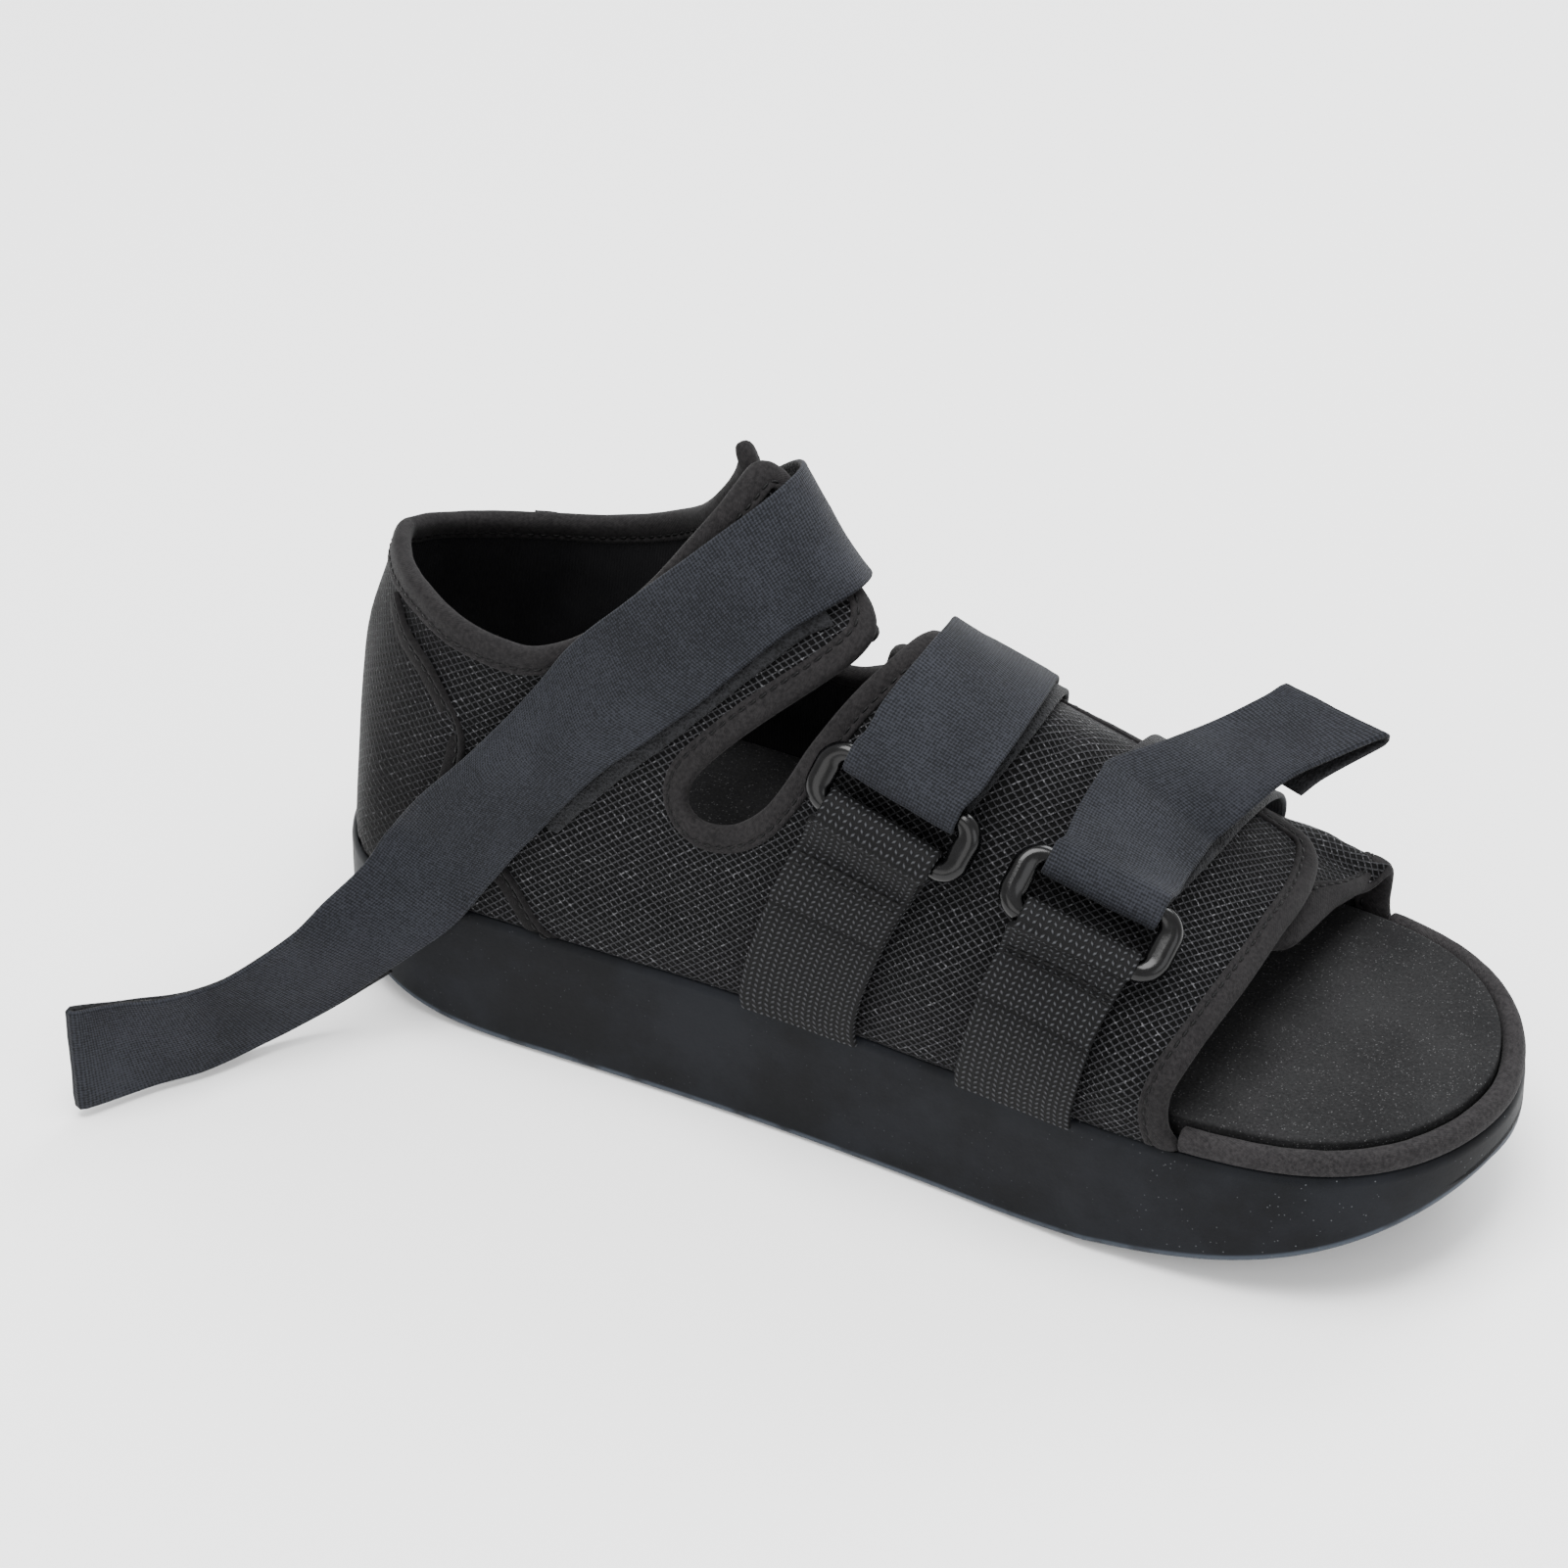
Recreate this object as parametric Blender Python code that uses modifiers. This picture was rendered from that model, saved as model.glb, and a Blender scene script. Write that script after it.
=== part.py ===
# Post operative shoe with a rocker sole, an open toe and three hook and loop straps.
# Metres, +Z up. +X points to the toe and -Y is the side with the rings.
# The origin lies on the floor, under the middle of the sole's length.
from bisect import bisect_right
from math import acos, atan2, cos, degrees, hypot, pi, radians, sin, sqrt, tan

import bmesh
import bpy
from mathutils import Matrix, Vector
from mathutils.geometry import delaunay_2d_cdt

MM = 0.001

# Driving dimensions in millimetres
SOLE_LENGTH = 287.0
SOLE_THICK = 36.0
BALL_WIDTH = 99.0
HEEL_WIDTH = 88.0
TOE_SPRING = 26.0
HEEL_BEVEL = 13.5
SOLE_EDGE = 2.5
SOLE_LIP = 1.2
INSOLE_THICK = 5.6
INSOLE_INSET = 6.2
INSOLE_ROUND = 1.0
RIM_WIDTH = 5.0
RIM_HEIGHT = 4.6
RIM_INSET = 0.4
TOE_HEIGHT = 26.5
INSTEP_HEIGHT = 80.5
ANKLE_HEIGHT = 131.0
HEEL_CUP_HEIGHT = 71.0
MESH_WALL = 3.0
BOUND_WALL = 4.2
BINDING_WIDTH = 6.5
STRAP_THICK = 1.5
WEBBING_THICK = 1.6
RING_WIRE = 4.6
RING_CORNER = 4.4
STRAP_WIDTH = 30.0
HOOK_TAB = 60.0
FOREFOOT_HOOK_TAB = 18.0
GAP = 0.3
LAID_GAP = 1.0
FOOT_TRIM = 1.5

# Shares of the sole's length, from its middle: waist, ball and ends of the flat tread
HEEL_START = -0.339
BALL_START = 0.217
FLAT_BACK = -0.301
FLAT_FRONT = 0.117

HALF = SOLE_LENGTH / 2
SEAT = SOLE_THICK + GAP
FOOT = SEAT - FOOT_TRIM


def curve(xs, ys, x):
    """Smooth curve through the points (xs, ys), flat beyond its ends."""
    if x <= xs[0]:
        return ys[0]
    if x >= xs[-1]:
        return ys[-1]
    last = len(xs) - 1
    i = bisect_right(xs, x) - 1
    step = xs[i + 1] - xs[i]

    def slope(k):
        before, after = max(k - 1, 0), min(k + 1, last)
        return (ys[after] - ys[before]) / (xs[after] - xs[before])

    t = (x - xs[i]) / step
    rise = ys[i + 1] - ys[i]
    lift = (t * t * (3 - 2 * t)) * rise
    return ys[i] + lift + step * (t * (1 - t) ** 2 * slope(i) - t * t * (1 - t) * slope(i + 1))


def blend(a, b, t):
    return a + (b - a) * t


def ease(t):
    t = min(1.0, max(0.0, t))
    return t * t * (3 - 2 * t)


# Sole: half width of its straight sides. Columns: share of length from the middle,
# share of the heel's width, share of the ball's width.
SIDES = (
    (-0.339, 1.00, 0.00),
    (-0.110, 0.99, 0.00),
    (0.065, 0.50, 0.48),
    (0.217, 0.00, 1.00),
)


def side_half(x):
    xs = [row[0] * SOLE_LENGTH for row in SIDES]
    ys = [(row[1] * HEEL_WIDTH + row[2] * BALL_WIDTH) / 2 for row in SIDES]
    return curve(xs, ys, x)


def closing(k, along, across):
    """Rounded end of an outline: 1 at its start k = 0, 0 at its tip k = 1."""
    k = min(1.0, max(0.0, k))
    return (1 - k ** along) ** (1 / across)


HEEL_ROUND = (2.6, 2.5)
TOE_ROUND = (3.56, 1.80)


def sole_half(x):
    heel, ball = HEEL_START * SOLE_LENGTH, BALL_START * SOLE_LENGTH
    if x < heel:
        return side_half(heel) * closing((heel - x) / (heel + HALF), *HEEL_ROUND)
    if x > ball:
        return side_half(ball) * closing((x - ball) / (HALF - ball), *TOE_ROUND)
    return side_half(x)


def outline_stations():
    """Places along the sole, closer together where the ends turn."""
    heel, ball = HEEL_START * SOLE_LENGTH, BALL_START * SOLE_LENGTH
    turns = 11
    xs = [heel - (heel + HALF) * sin(pi / 2 * k / turns) ** (2 / HEEL_ROUND[0]) for k in range(turns, 0, -1)]
    straight = 14
    xs += [blend(heel, ball, k / straight) for k in range(straight)]
    xs += [ball + (HALF - ball) * sin(pi / 2 * k / turns) ** (2 / TOE_ROUND[0]) for k in range(turns + 1)]
    return xs


def tread(x):
    """Height of the bottom: flat in the middle, an arc up to the toe and one to the heel."""
    rise, start, tip = 0.0, 0.0, 1.0
    if x > FLAT_FRONT * SOLE_LENGTH:
        rise, start, tip = TOE_SPRING, FLAT_FRONT * SOLE_LENGTH, HALF
    if x < FLAT_BACK * SOLE_LENGTH:
        rise, start, tip = HEEL_BEVEL, FLAT_BACK * SOLE_LENGTH, -HALF
    if rise == 0.0:
        return 0.0
    run = tip - start
    radius = (run * run + rise * rise) / (2 * rise)
    return radius - sqrt(radius * radius - (x - start) ** 2)


def inset_outline(inset, xs):
    """Right half of the sole's outline moved in by inset, at the places xs up to the toe's tip."""
    pts = [Vector((x, -sole_half(x))) for x in xs]
    first = pts[0] - (pts[1] - pts[0]) if pts[0].y < 0 else Vector((pts[1].x, -pts[1].y))
    out = []
    for i, p in enumerate(pts):
        before = pts[i - 1] if i else first
        after = pts[i + 1] if i < len(pts) - 1 else Vector((pts[-2].x, -pts[-2].y))
        along = (after - before).normalized()
        q = p + Vector((-along.y, along.x)) * inset
        if p.y == 0.0:
            q.y = 0.0
        out.append(q)
    return out


def new_object(name, verts, faces, mat):
    mesh = bpy.data.meshes.new(name)
    mesh.from_pydata([Vector(v) * MM for v in verts], [], faces)
    work = bmesh.new()
    work.from_mesh(mesh)
    bmesh.ops.recalc_face_normals(work, faces=work.faces)
    work.to_mesh(mesh)
    work.free()
    mesh.shade_smooth()
    mesh.set_sharp_from_angle(angle=radians(40))
    obj = bpy.data.objects.new(name, mesh)
    obj.data.materials.append(mat)
    parts.objects.link(obj)
    return obj


def material(name, colour, roughness, metallic=0.0):
    mat = bpy.data.materials.new(name)
    mat.use_nodes = True
    shader = mat.node_tree.nodes["Principled BSDF"]
    shader.inputs["Base Color"].default_value = (*colour, 1.0)
    shader.inputs["Roughness"].default_value = roughness
    shader.inputs["Metallic"].default_value = metallic
    return mat


def slab(name, rings, mat):
    """Solid inside rings of the sole's outline. A ring is its inset and its height at x."""
    verts, faces, count = [], [], 0
    for inset, height in rings:
        half = inset_outline(inset, outline_stations())
        other = [Vector((p.x, -p.y)) for p in reversed(half[1:-1])]
        count = len(half) + len(other)
        verts += [(p.x, p.y, height(p.x)) for p in half + other]
    for k in range(len(rings) - 1):
        for i in range(count):
            j = (i + 1) % count
            faces.append((k * count + i, k * count + j, (k + 1) * count + j, (k + 1) * count + i))
    for base in (0, (len(rings) - 1) * count):
        faces.append((base, base + 1, base + count - 1))
        for i in range(1, count // 2 - 1):
            faces.append((base + i, base + i + 1, base + count - i - 1, base + count - i))
        middle = count // 2
        faces.append((base + middle - 1, base + middle, base + middle + 1))
    return new_object(name, verts, faces, mat)


def make_sole(mat):
    rings = (
        (SOLE_EDGE, tread),
        (0.0, lambda x: tread(x) + SOLE_EDGE),
        (0.0, lambda x: SOLE_THICK - SOLE_LIP),
        (SOLE_LIP, lambda x: SOLE_THICK),
    )
    return slab("sole", rings, mat)


def make_insole(mat):
    top = SEAT + INSOLE_THICK
    rings = (
        (INSOLE_INSET, lambda x: SEAT),
        (INSOLE_INSET, lambda x: top - INSOLE_ROUND),
        (INSOLE_INSET + INSOLE_ROUND, lambda x: top),
    )
    return slab("insole", rings, mat)


# Form of the upper. Its sections are planes that fan out from a line over the toe opening,
# upright at the toe and leaning back to the heel. Columns: ridge along the foot as a share
# of the sole's length, ridge height over the sole as a share of the toe, instep and ankle
# heights, half width as a share of the ball's width, two powers that round the section,
# and the ridge's shift to the inner side as a share of the ball's width.
FORM = (
    (0.326, 1.00, 0.00, 0.00, 0.530, 5.0, 1.50, 0.030),
    (0.256, 0.60, 0.31, 0.00, 0.520, 3.6, 1.70, 0.000),
    (0.204, 0.30, 0.56, 0.00, 0.500, 2.8, 1.80, -0.030),
    (0.134, 0.10, 0.78, 0.00, 0.465, 2.4, 1.90, -0.061),
    (0.082, 0.00, 0.92, 0.00, 0.434, 2.2, 2.00, -0.081),
    (0.030, 0.00, 1.00, 0.00, 0.419, 2.1, 2.00, -0.081),
    (-0.005, 0.00, 0.80, 0.15, 0.409, 2.1, 2.00, -0.071),
    (-0.040, 0.00, 0.60, 0.30, 0.404, 2.1, 2.00, -0.061),
    (-0.068, 0.00, 0.35, 0.50, 0.394, 2.1, 2.00, -0.051),
    (-0.099, 0.00, 0.15, 0.71, 0.379, 2.1, 2.00, -0.040),
    (-0.131, 0.00, 0.00, 0.89, 0.364, 2.1, 2.00, -0.020),
    (-0.159, 0.00, 0.00, 1.00, 0.354, 2.1, 2.00, 0.000),
)
FAN_ALONG = 0.326
FAN_OVER = 1.374

# Back of the heel cup. Columns: share of the cup's height, how far it stands in
# from the sole's end as a share of the heel's width.
HEEL_BACK = ((0.00, 0.007), (0.27, 0.004), (0.55, 0.006), (0.83, 0.040), (1.11, 0.102), (1.46, 0.170))


# Over the heel bone the back is slim: where it starts further forward, and its powers
SLIM_START = 0.054
SLIM_ROUND = (2.0, 1.4)


def heel_back(z):
    hs = [row[0] * HEEL_CUP_HEIGHT for row in HEEL_BACK]
    ins = [row[1] * HEEL_WIDTH for row in HEEL_BACK]
    return -HALF + curve(hs, ins, z - SOLE_THICK)


def heel_close(x, z):
    """Share of the width left near the back: blunt at the sole, slim over the heel bone."""
    up = min(1.0, max(0.0, (z - SOLE_THICK) / HEEL_CUP_HEIGHT))
    start = (HEEL_START + SLIM_START * up) * SOLE_LENGTH
    if x >= start:
        return 1.0
    k = (start - x) / (start - heel_back(z))
    return closing(k, blend(HEEL_ROUND[0], SLIM_ROUND[0], up), blend(HEEL_ROUND[1], SLIM_ROUND[1], up))


FAN_X = FAN_ALONG * SOLE_LENGTH
FAN_Z = SOLE_THICK + FAN_OVER * ANKLE_HEIGHT
RIDGE = [
    (row[0] * SOLE_LENGTH, SOLE_THICK + row[1] * TOE_HEIGHT + row[2] * INSTEP_HEIGHT + row[3] * ANKLE_HEIGHT)
    for row in FORM
]
ANGLES = [atan2(FAN_X - x, FAN_Z - z) for x, z in RIDGE]
COLUMNS = {
    "x": [x for x, z in RIDGE],
    "z": [z for x, z in RIDGE],
    "half": [row[4] * BALL_WIDTH for row in FORM],
    "crown": [row[5] for row in FORM],
    "shoulder": [row[6] for row in FORM],
    "shift": [row[7] * BALL_WIDTH for row in FORM],
}


def section(name, angle):
    return curve(ANGLES, COLUMNS[name], angle)


def reach(angle):
    """Distances from the fan's line to the ridge and to the sole or the back of the heel."""
    ridge = hypot(FAN_X - section("x", angle), FAN_Z - section("z", angle))
    far = (FAN_Z - FOOT) / cos(angle)
    if FAN_X - far * sin(angle) >= heel_back(FOOT):
        return ridge, far
    near = ridge
    for _ in range(40):
        middle = (near + far) / 2
        if FAN_X - middle * sin(angle) > heel_back(FAN_Z - middle * cos(angle)):
            near = middle
        else:
            far = middle
    return ridge, near


def form(deg, turn):
    """Outer face of the upper. turn is 1 at the near side of the sole, 0 on the ridge and
    -1 at the far side; deg is the angle of the section's plane."""
    angle = radians(deg)
    ridge, end = reach(angle)
    t = 0.5 * (1 - cos(pi * abs(turn)))
    r = blend(ridge, end, t)
    x, z = FAN_X - r * sin(angle), FAN_Z - r * cos(angle)
    crown = closing(1 - t, section("crown", angle), section("shoulder", angle))
    side = blend(section("half", angle), side_half(FAN_X - end * sin(angle)), t ** 2.5)
    half = side * crown * heel_close(x, z)
    y = section("shift", angle) * (1 - t)
    return Vector((x, y - half if turn >= 0 else y + half, z))


def outward(deg, turn):
    """Unit normal of the form, pointing out."""
    turn = min(0.97, max(-0.97, turn))
    d = 0.02
    along = form(deg + 10 * d, turn) - form(deg - 10 * d, turn)
    around = form(deg, turn + d) - form(deg, turn - d)
    return along.cross(around).normalized()


# Where the flaps overlap, the far one dips under the near one between these two turns.
LAP = BOUND_WALL + 2.0
DIP_START = -0.48
DIP_END = -0.30


def dip(turn):
    return LAP * ease((turn - DIP_START) / (DIP_END - DIP_START))


def over(deg, turn, off):
    return form(deg, turn) + outward(deg, turn) * off


# Edges of the two halves, drawn on the form. Columns: angle of the section's plane in
# degrees, turn. The near half's outline runs from the sole at the toe over the vamp flap,
# down into the slit and up round the ankle flap to the back of the collar.
NEAR_EDGE = (
    (3.3, 0.84), (4.2, 0.70), (4.3, 0.53), (3.3, 0.34), (2.3, 0.17), (2.1, 0.03), (2.2, -0.09),
    (3.5, -0.19), (6.1, -0.245), (9.5, -0.26), (16.0, -0.27), (25.0, -0.27), (34.0, -0.27),
    (40.0, -0.25), (43.0, -0.18), (44.8, -0.05), (45.3, 0.05), (45.3, 0.144), (44.8, 0.22),
    (43.9, 0.30), (42.8, 0.37), (42.2, 0.43), (42.6, 0.475), (43.9, 0.492), (45.4, 0.475),
    (46.5, 0.435), (47.1, 0.37), (47.3, 0.29), (47.2, 0.20), (47.2, 0.11), (47.8, 0.03),
    (49.3, -0.03), (52.0, -0.06), (56.0, -0.07), (60.5, -0.06), (64.0, -0.02), (65.6, 0.05),
    (64.9, 0.13), (62.6, 0.24), (60.2, 0.33), (58.6, 0.41), (58.7, 0.48), (60.2, 0.54),
    (61.9, 0.61), (63.3, 0.68), (64.2, 0.76), (64.7, 0.84), (64.9, 0.92),
)
BACK_TOP = (64.8, 1.0)
FAR_EDGE = (
    (-0.4, -0.86), (0.0, -0.70), (0.0, -0.50), (0.1, -0.33), (0.2, -0.18), (0.7, -0.03),
    (2.4, 0.05), (6.0, 0.08), (14.0, 0.09), (24.0, 0.09), (34.0, 0.09), (40.0, 0.06),
    (43.0, -0.02), (44.7, -0.12), (44.9, -0.22), (43.9, -0.30), (42.8, -0.37), (42.2, -0.43),
    (42.6, -0.475), (43.9, -0.492), (45.4, -0.475), (46.5, -0.435), (47.1, -0.37),
    (47.3, -0.29), (47.2, -0.20), (47.4, -0.10), (48.6, -0.01), (52.0, 0.05), (57.0, 0.06),
    (62.0, 0.05), (65.3, 0.01), (66.5, -0.05), (65.9, -0.12), (63.6, -0.21), (60.8, -0.31),
    (58.9, -0.40), (58.4, -0.48), (58.9, -0.56), (60.0, -0.64), (61.4, -0.72), (62.8, -0.80),
    (64.0, -0.88), (64.6, -0.95),
)
SOLE_START = {"near": 3.0, "far": -0.5}
EDGE_STEP = 6.2
GRID_DEG = 2.3
GRID_TURN = 0.07
# The pattern is laid out flat, heel in the middle: a degree and a turn take this many units.
FLAT_DEG = 3.2
FLAT_TURN = 110.0


def flat(deg, turn, side):
    return Vector((FLAT_TURN * (1 - turn) if side == "near" else -FLAT_TURN * (1 + turn), FLAT_DEG * deg))


def unflat(p):
    if p.x >= 0:
        return p.y / FLAT_DEG, 1 - p.x / FLAT_TURN
    return p.y / FLAT_DEG, -1 - p.x / FLAT_TURN


def rounded(points, step):
    """Points step apart along the smooth curve through the given ones, all included ends."""
    dense = []
    for i in range(len(points) - 1):
        a = points[max(i - 1, 0)]
        b, c = points[i], points[i + 1]
        d = points[min(i + 2, len(points) - 1)]
        for k in range(12):
            t = k / 12
            dense.append(0.5 * (2 * b + (c - a) * t + (2 * a - 5 * b + 4 * c - d) * t ** 2
                                + (3 * b - a - 3 * c + d) * t ** 3))
    dense.append(points[-1])
    out, walked = [dense[0]], 0.0
    for p, q in zip(dense, dense[1:]):
        walked += (place(q, 0.0) - place(p, 0.0)).length
        if walked >= step:
            out.append(q)
            walked = 0.0
    if (out[-1] - dense[-1]).length < 0.4 * step:
        out.pop()
    return out + [dense[-1]]


def place(p, off):
    """Point of the upper at a point of the flat pattern, with off added outwards."""
    deg, turn = unflat(p)
    under = dip(turn) if p.x < 0 else 0.0
    return over(deg, turn, off - under)


def foot_x(deg):
    """Where a section's plane meets the sole."""
    return FAN_X - (FAN_Z - FOOT) * tan(radians(deg))


def sole_angles(start):
    """Angles at which the sections meet the sole, from the toe opening to the heel's back."""
    first = foot_x(start) - EDGE_STEP / 2
    xs = [x for x in outline_stations() if heel_back(FOOT) + 0.5 < x < first]
    return [start] + [degrees(atan2(FAN_X - x, FAN_Z - FOOT)) for x in reversed(xs)]


# Level rows of the pattern round the heel cup, as shares of its height
HEEL_ROWS = (0.10, 0.21, 0.33, 0.46, 0.60)


def heel_rows():
    """Level rows of points of the pattern round the heel cup, set apart like the outline's."""
    heel = HEEL_START * SOLE_LENGTH
    rows = []
    for share in HEEL_ROWS:
        z = FOOT + share * HEEL_CUP_HEIGHT
        near = [flat(degrees(atan2(FAN_X - heel_back(z), FAN_Z - z)), 1.0, "near")]
        for station in outline_stations()[1:]:
            if station > heel:
                break
            x = blend(heel, heel_back(z), (heel - station) / (heel + HALF))
            angle = atan2(FAN_X - x, FAN_Z - z)
            ridge, end = reach(angle)
            t = min(1.0, (hypot(FAN_X - x, FAN_Z - z) - ridge) / (end - ridge))
            near.append(flat(degrees(angle), acos(1 - 2 * t) / pi, "near"))
        rows.append(near[::-1] + [Vector((-p.x, p.y)) for p in near[1:]])
    return rows


def make_upper(mat):
    slit = 0.05
    near_sole = [flat(a, 1.0, "near") + Vector((slit, 0)) for a in sole_angles(SOLE_START["near"])]
    far_sole = [flat(a, -1.0, "far") - Vector((slit, 0)) for a in sole_angles(SOLE_START["far"])]
    heel_corner = flat(degrees(atan2(FAN_X - heel_back(FOOT), FAN_Z - FOOT)), 1.0, "near")
    top = flat(*BACK_TOP, "near")
    near_free = rounded([near_sole[0]] + [flat(a, t, "near") for a, t in NEAR_EDGE] + [top], EDGE_STEP)
    far_free = rounded([far_sole[0]] + [flat(a, t, "far") for a, t in FAR_EDGE] + [top], EDGE_STEP)
    loop = near_free + far_free[-2:0:-1] + far_sole + [heel_corner] + near_sole[:0:-1]
    free = near_free[1:] + far_free[1:-1]

    def inside(p):
        hit = False
        for a, b in zip(loop, loop[1:] + loop[:1]):
            if (a.y > p.y) != (b.y > p.y) and p.x < a.x + (b.x - a.x) * (p.y - a.y) / (b.y - a.y):
                hit = not hit
        return hit

    solid = {id(p): place(p, 0.0) for p in loop}
    border = [solid[id(p)] for p in free]

    def clearance(p, others):
        at = place(p, 0.0)
        return min((at - q).length for q in others)

    ring = []
    for row in (near_free, far_free):
        for a, b, c in zip(row, row[1:], row[2:]):
            side = (c - a).normalized()
            step = Vector((-side.y, side.x)) if row is near_free else Vector((side.y, -side.x))
            scale = (place(b + step, 0.0) - place(b, 0.0)).length
            q = b + step * (BINDING_WIDTH / max(scale, 0.2))
            if inside(q) and clearance(q, border) > 0.85 * BINDING_WIDTH:
                if not ring or clearance(q, [place(r, 0.0) for r in ring]) > 0.5 * EDGE_STEP:
                    ring.append(q)
    rows = heel_rows()
    ring += [q for row in rows for q in row]
    ring_at = [place(q, 0.0) for q in ring]
    all_edges = list(solid.values())
    rows_top = FOOT + HEEL_ROWS[-1] * HEEL_CUP_HEIGHT + 0.6 * EDGE_STEP
    grid = []
    for i in range(-2, int(70 / GRID_DEG)):
        for j in range(-int(1.5 / GRID_TURN), int(1.5 / GRID_TURN) + 1):
            q = Vector((j * GRID_TURN * FLAT_TURN, (i + 0.5 * (j % 2)) * GRID_DEG * FLAT_DEG))
            if not inside(q) or clearance(q, all_edges) < 0.6 * EDGE_STEP:
                continue
            at = place(q, 0.0)
            if at.x < HEEL_START * SOLE_LENGTH and at.z < rows_top:
                continue
            if clearance(q, border) > 1.25 * BINDING_WIDTH and clearance(q, ring_at) > 0.6 * EDGE_STEP:
                grid.append(q)
            elif clearance(q, border) > 2.0 * BINDING_WIDTH:
                grid.append(q)
    points = loop + ring + grid
    kept = []
    for k, row in enumerate(rows):
        first = points.index(row[0])
        kept += [(first + i, first + i + 1) for i in range(len(row) - 1)]
        for i, q in enumerate(row):
            at = place(q, 0.0)
            near_by = min(range(len(loop)), key=lambda j: (place(loop[j], 0.0) - at).length)
            kept.append((first + i, near_by if k == 0 else first + i - len(row)))
    found = delaunay_2d_cdt(points, kept, [list(range(len(loop)))], 1, 1e-4)
    flat_pts, _, triangles = found[0], found[1], found[2]
    verts = [place(p, -BOUND_WALL / 2) for p in flat_pts]
    obj = new_object("upper", verts, [tuple(t) for t in triangles], mat)
    bound = obj.vertex_groups.new(name="bound edge")
    for i, p in enumerate(flat_pts):
        at = place(p, 0.0)
        wide = min((at - q).length for q in border) < 1.08 * BINDING_WIDTH
        bound.add([i], 1.0 if wide else MESH_WALL / BOUND_WALL, "REPLACE")
    wall = obj.modifiers.new("wall", "SOLIDIFY")
    wall.thickness = BOUND_WALL * MM
    wall.offset = 0.0
    wall.vertex_group = bound.name
    wall.use_even_offset = False
    trim = obj.modifiers.new("foot", "BOOLEAN")
    trim.object = below_seat()
    return obj


def below_seat():
    """Cutter that trims the upper flat where it stands on the sole."""
    bpy.ops.mesh.primitive_cube_add(size=1.0, location=(0, 0, (SEAT - SOLE_THICK / 2) * MM))
    block = bpy.context.object
    block.name = "below_seat"
    block.data.transform(Matrix.Diagonal((2 * SOLE_LENGTH * MM, 2 * BALL_WIDTH * MM, SOLE_THICK * MM, 1)))
    block.hide_render = True
    block.display_type = "WIRE"
    for owner in list(block.users_collection):
        owner.objects.unlink(block)
    cutters.objects.link(block)
    return block


def ribbon(name, rows, thick, mat):
    """Strap of even thickness through rows of points, each row running across its width."""
    wide = len(rows[0])
    verts = [p for row in rows for p in row]
    faces = []
    for i in range(len(rows) - 1):
        for j in range(wide - 1):
            a = i * wide + j
            faces.append((a, a + 1, a + wide + 1, a + wide))
    obj = new_object(name, verts, faces, mat)
    wall = obj.modifiers.new("thickness", "SOLIDIFY")
    wall.thickness = thick * MM
    wall.offset = 0.0
    wall.use_even_offset = True
    return obj


def across(path, s, off, count=4):
    """Points over the form, across a strap at s along its path of edge points."""
    left = [curve(path["s"], path["left_deg"], s), curve(path["s"], path["left_turn"], s)]
    right = [curve(path["s"], path["right_deg"], s), curve(path["s"], path["right_turn"], s)]
    row = []
    for k in range(count):
        t = k / (count - 1)
        deg, turn = blend(left[0], right[0], t), blend(left[1], right[1], t)
        row.append(over(deg, turn, off))
    return row


def path_of(table):
    """Columns: left edge's section angle and turn, right edge's section angle and turn."""
    return {
        "s": list(range(len(table))),
        "left_deg": [row[0] for row in table],
        "left_turn": [row[1] for row in table],
        "right_deg": [row[2] for row in table],
        "right_turn": [row[3] for row in table],
    }


def fold(row, ahead, up, radius, steps=6):
    """Rows that turn a strap back on itself, around a bar on the side that up points to."""
    centre = [p + up * radius for p in row]
    rows = []
    for k in range(1, steps + 1):
        angle = pi * k / steps
        rows.append([c - up * radius * cos(angle) + ahead * radius * sin(angle) for c in centre])
    return rows


def facing(row, before):
    """Unit normal of a strap at a row, away from the foot, and its direction of travel."""
    ahead = sum((p - q for p, q in zip(row, before)), Vector()).normalized()
    up = (row[-1] - row[0]).cross(ahead).normalized()
    return (up if up.dot(row[0] - Vector((row[0].x, 0, SEAT))) > 0 else -up), ahead


def straight_row(left, right, count=4):
    return [left.lerp(right, k / (count - 1)) for k in range(count)]


def flattened(row, up, share):
    """The row pulled towards a straight line across the strap, clear of the form's bulge."""
    chord = straight_row(row[0], row[-1], len(row))
    bulge = max((p - q).dot(up) for p, q in zip(row, chord))
    return [p.lerp(q + up * max(bulge, 0.0), share) for p, q in zip(row, chord)]


# Paths of the straps on the form, one row for each place that the photo shows.
MIDFOOT_PATH = (
    (33.0, -0.92, 26.0, -0.92),
    (35.3, -0.75, 27.8, -0.75),
    (38.2, -0.52, 29.4, -0.52),
    (41.0, -0.33, 30.8, -0.33),
    (42.6, -0.17, 31.6, -0.17),
    (43.2, -0.02, 31.7, 0.00),
    (42.3, 0.15, 31.1, 0.14),
    (40.3, 0.268, 30.2, 0.262),
)
FOREFOOT_PATH = (
    (19.0, -0.92, 10.4, -0.92),
    (20.0, -0.75, 10.7, -0.75),
    (21.3, -0.52, 10.6, -0.52),
    (22.3, -0.33, 10.6, -0.33),
    (22.9, -0.15, 10.8, -0.15),
    (23.2, 0.00, 11.1, 0.00),
    (22.8, 0.13, 11.2, 0.11),
    (21.6, 0.245, 11.5, 0.20),
)
MIDFOOT_TAB = (
    (33.4, 0.92, 26.3, 0.92),
    (34.9, 0.74, 27.5, 0.74),
    (37.3, 0.54, 28.8, 0.54),
    (39.7, 0.35, 29.7, 0.355),
)
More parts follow.
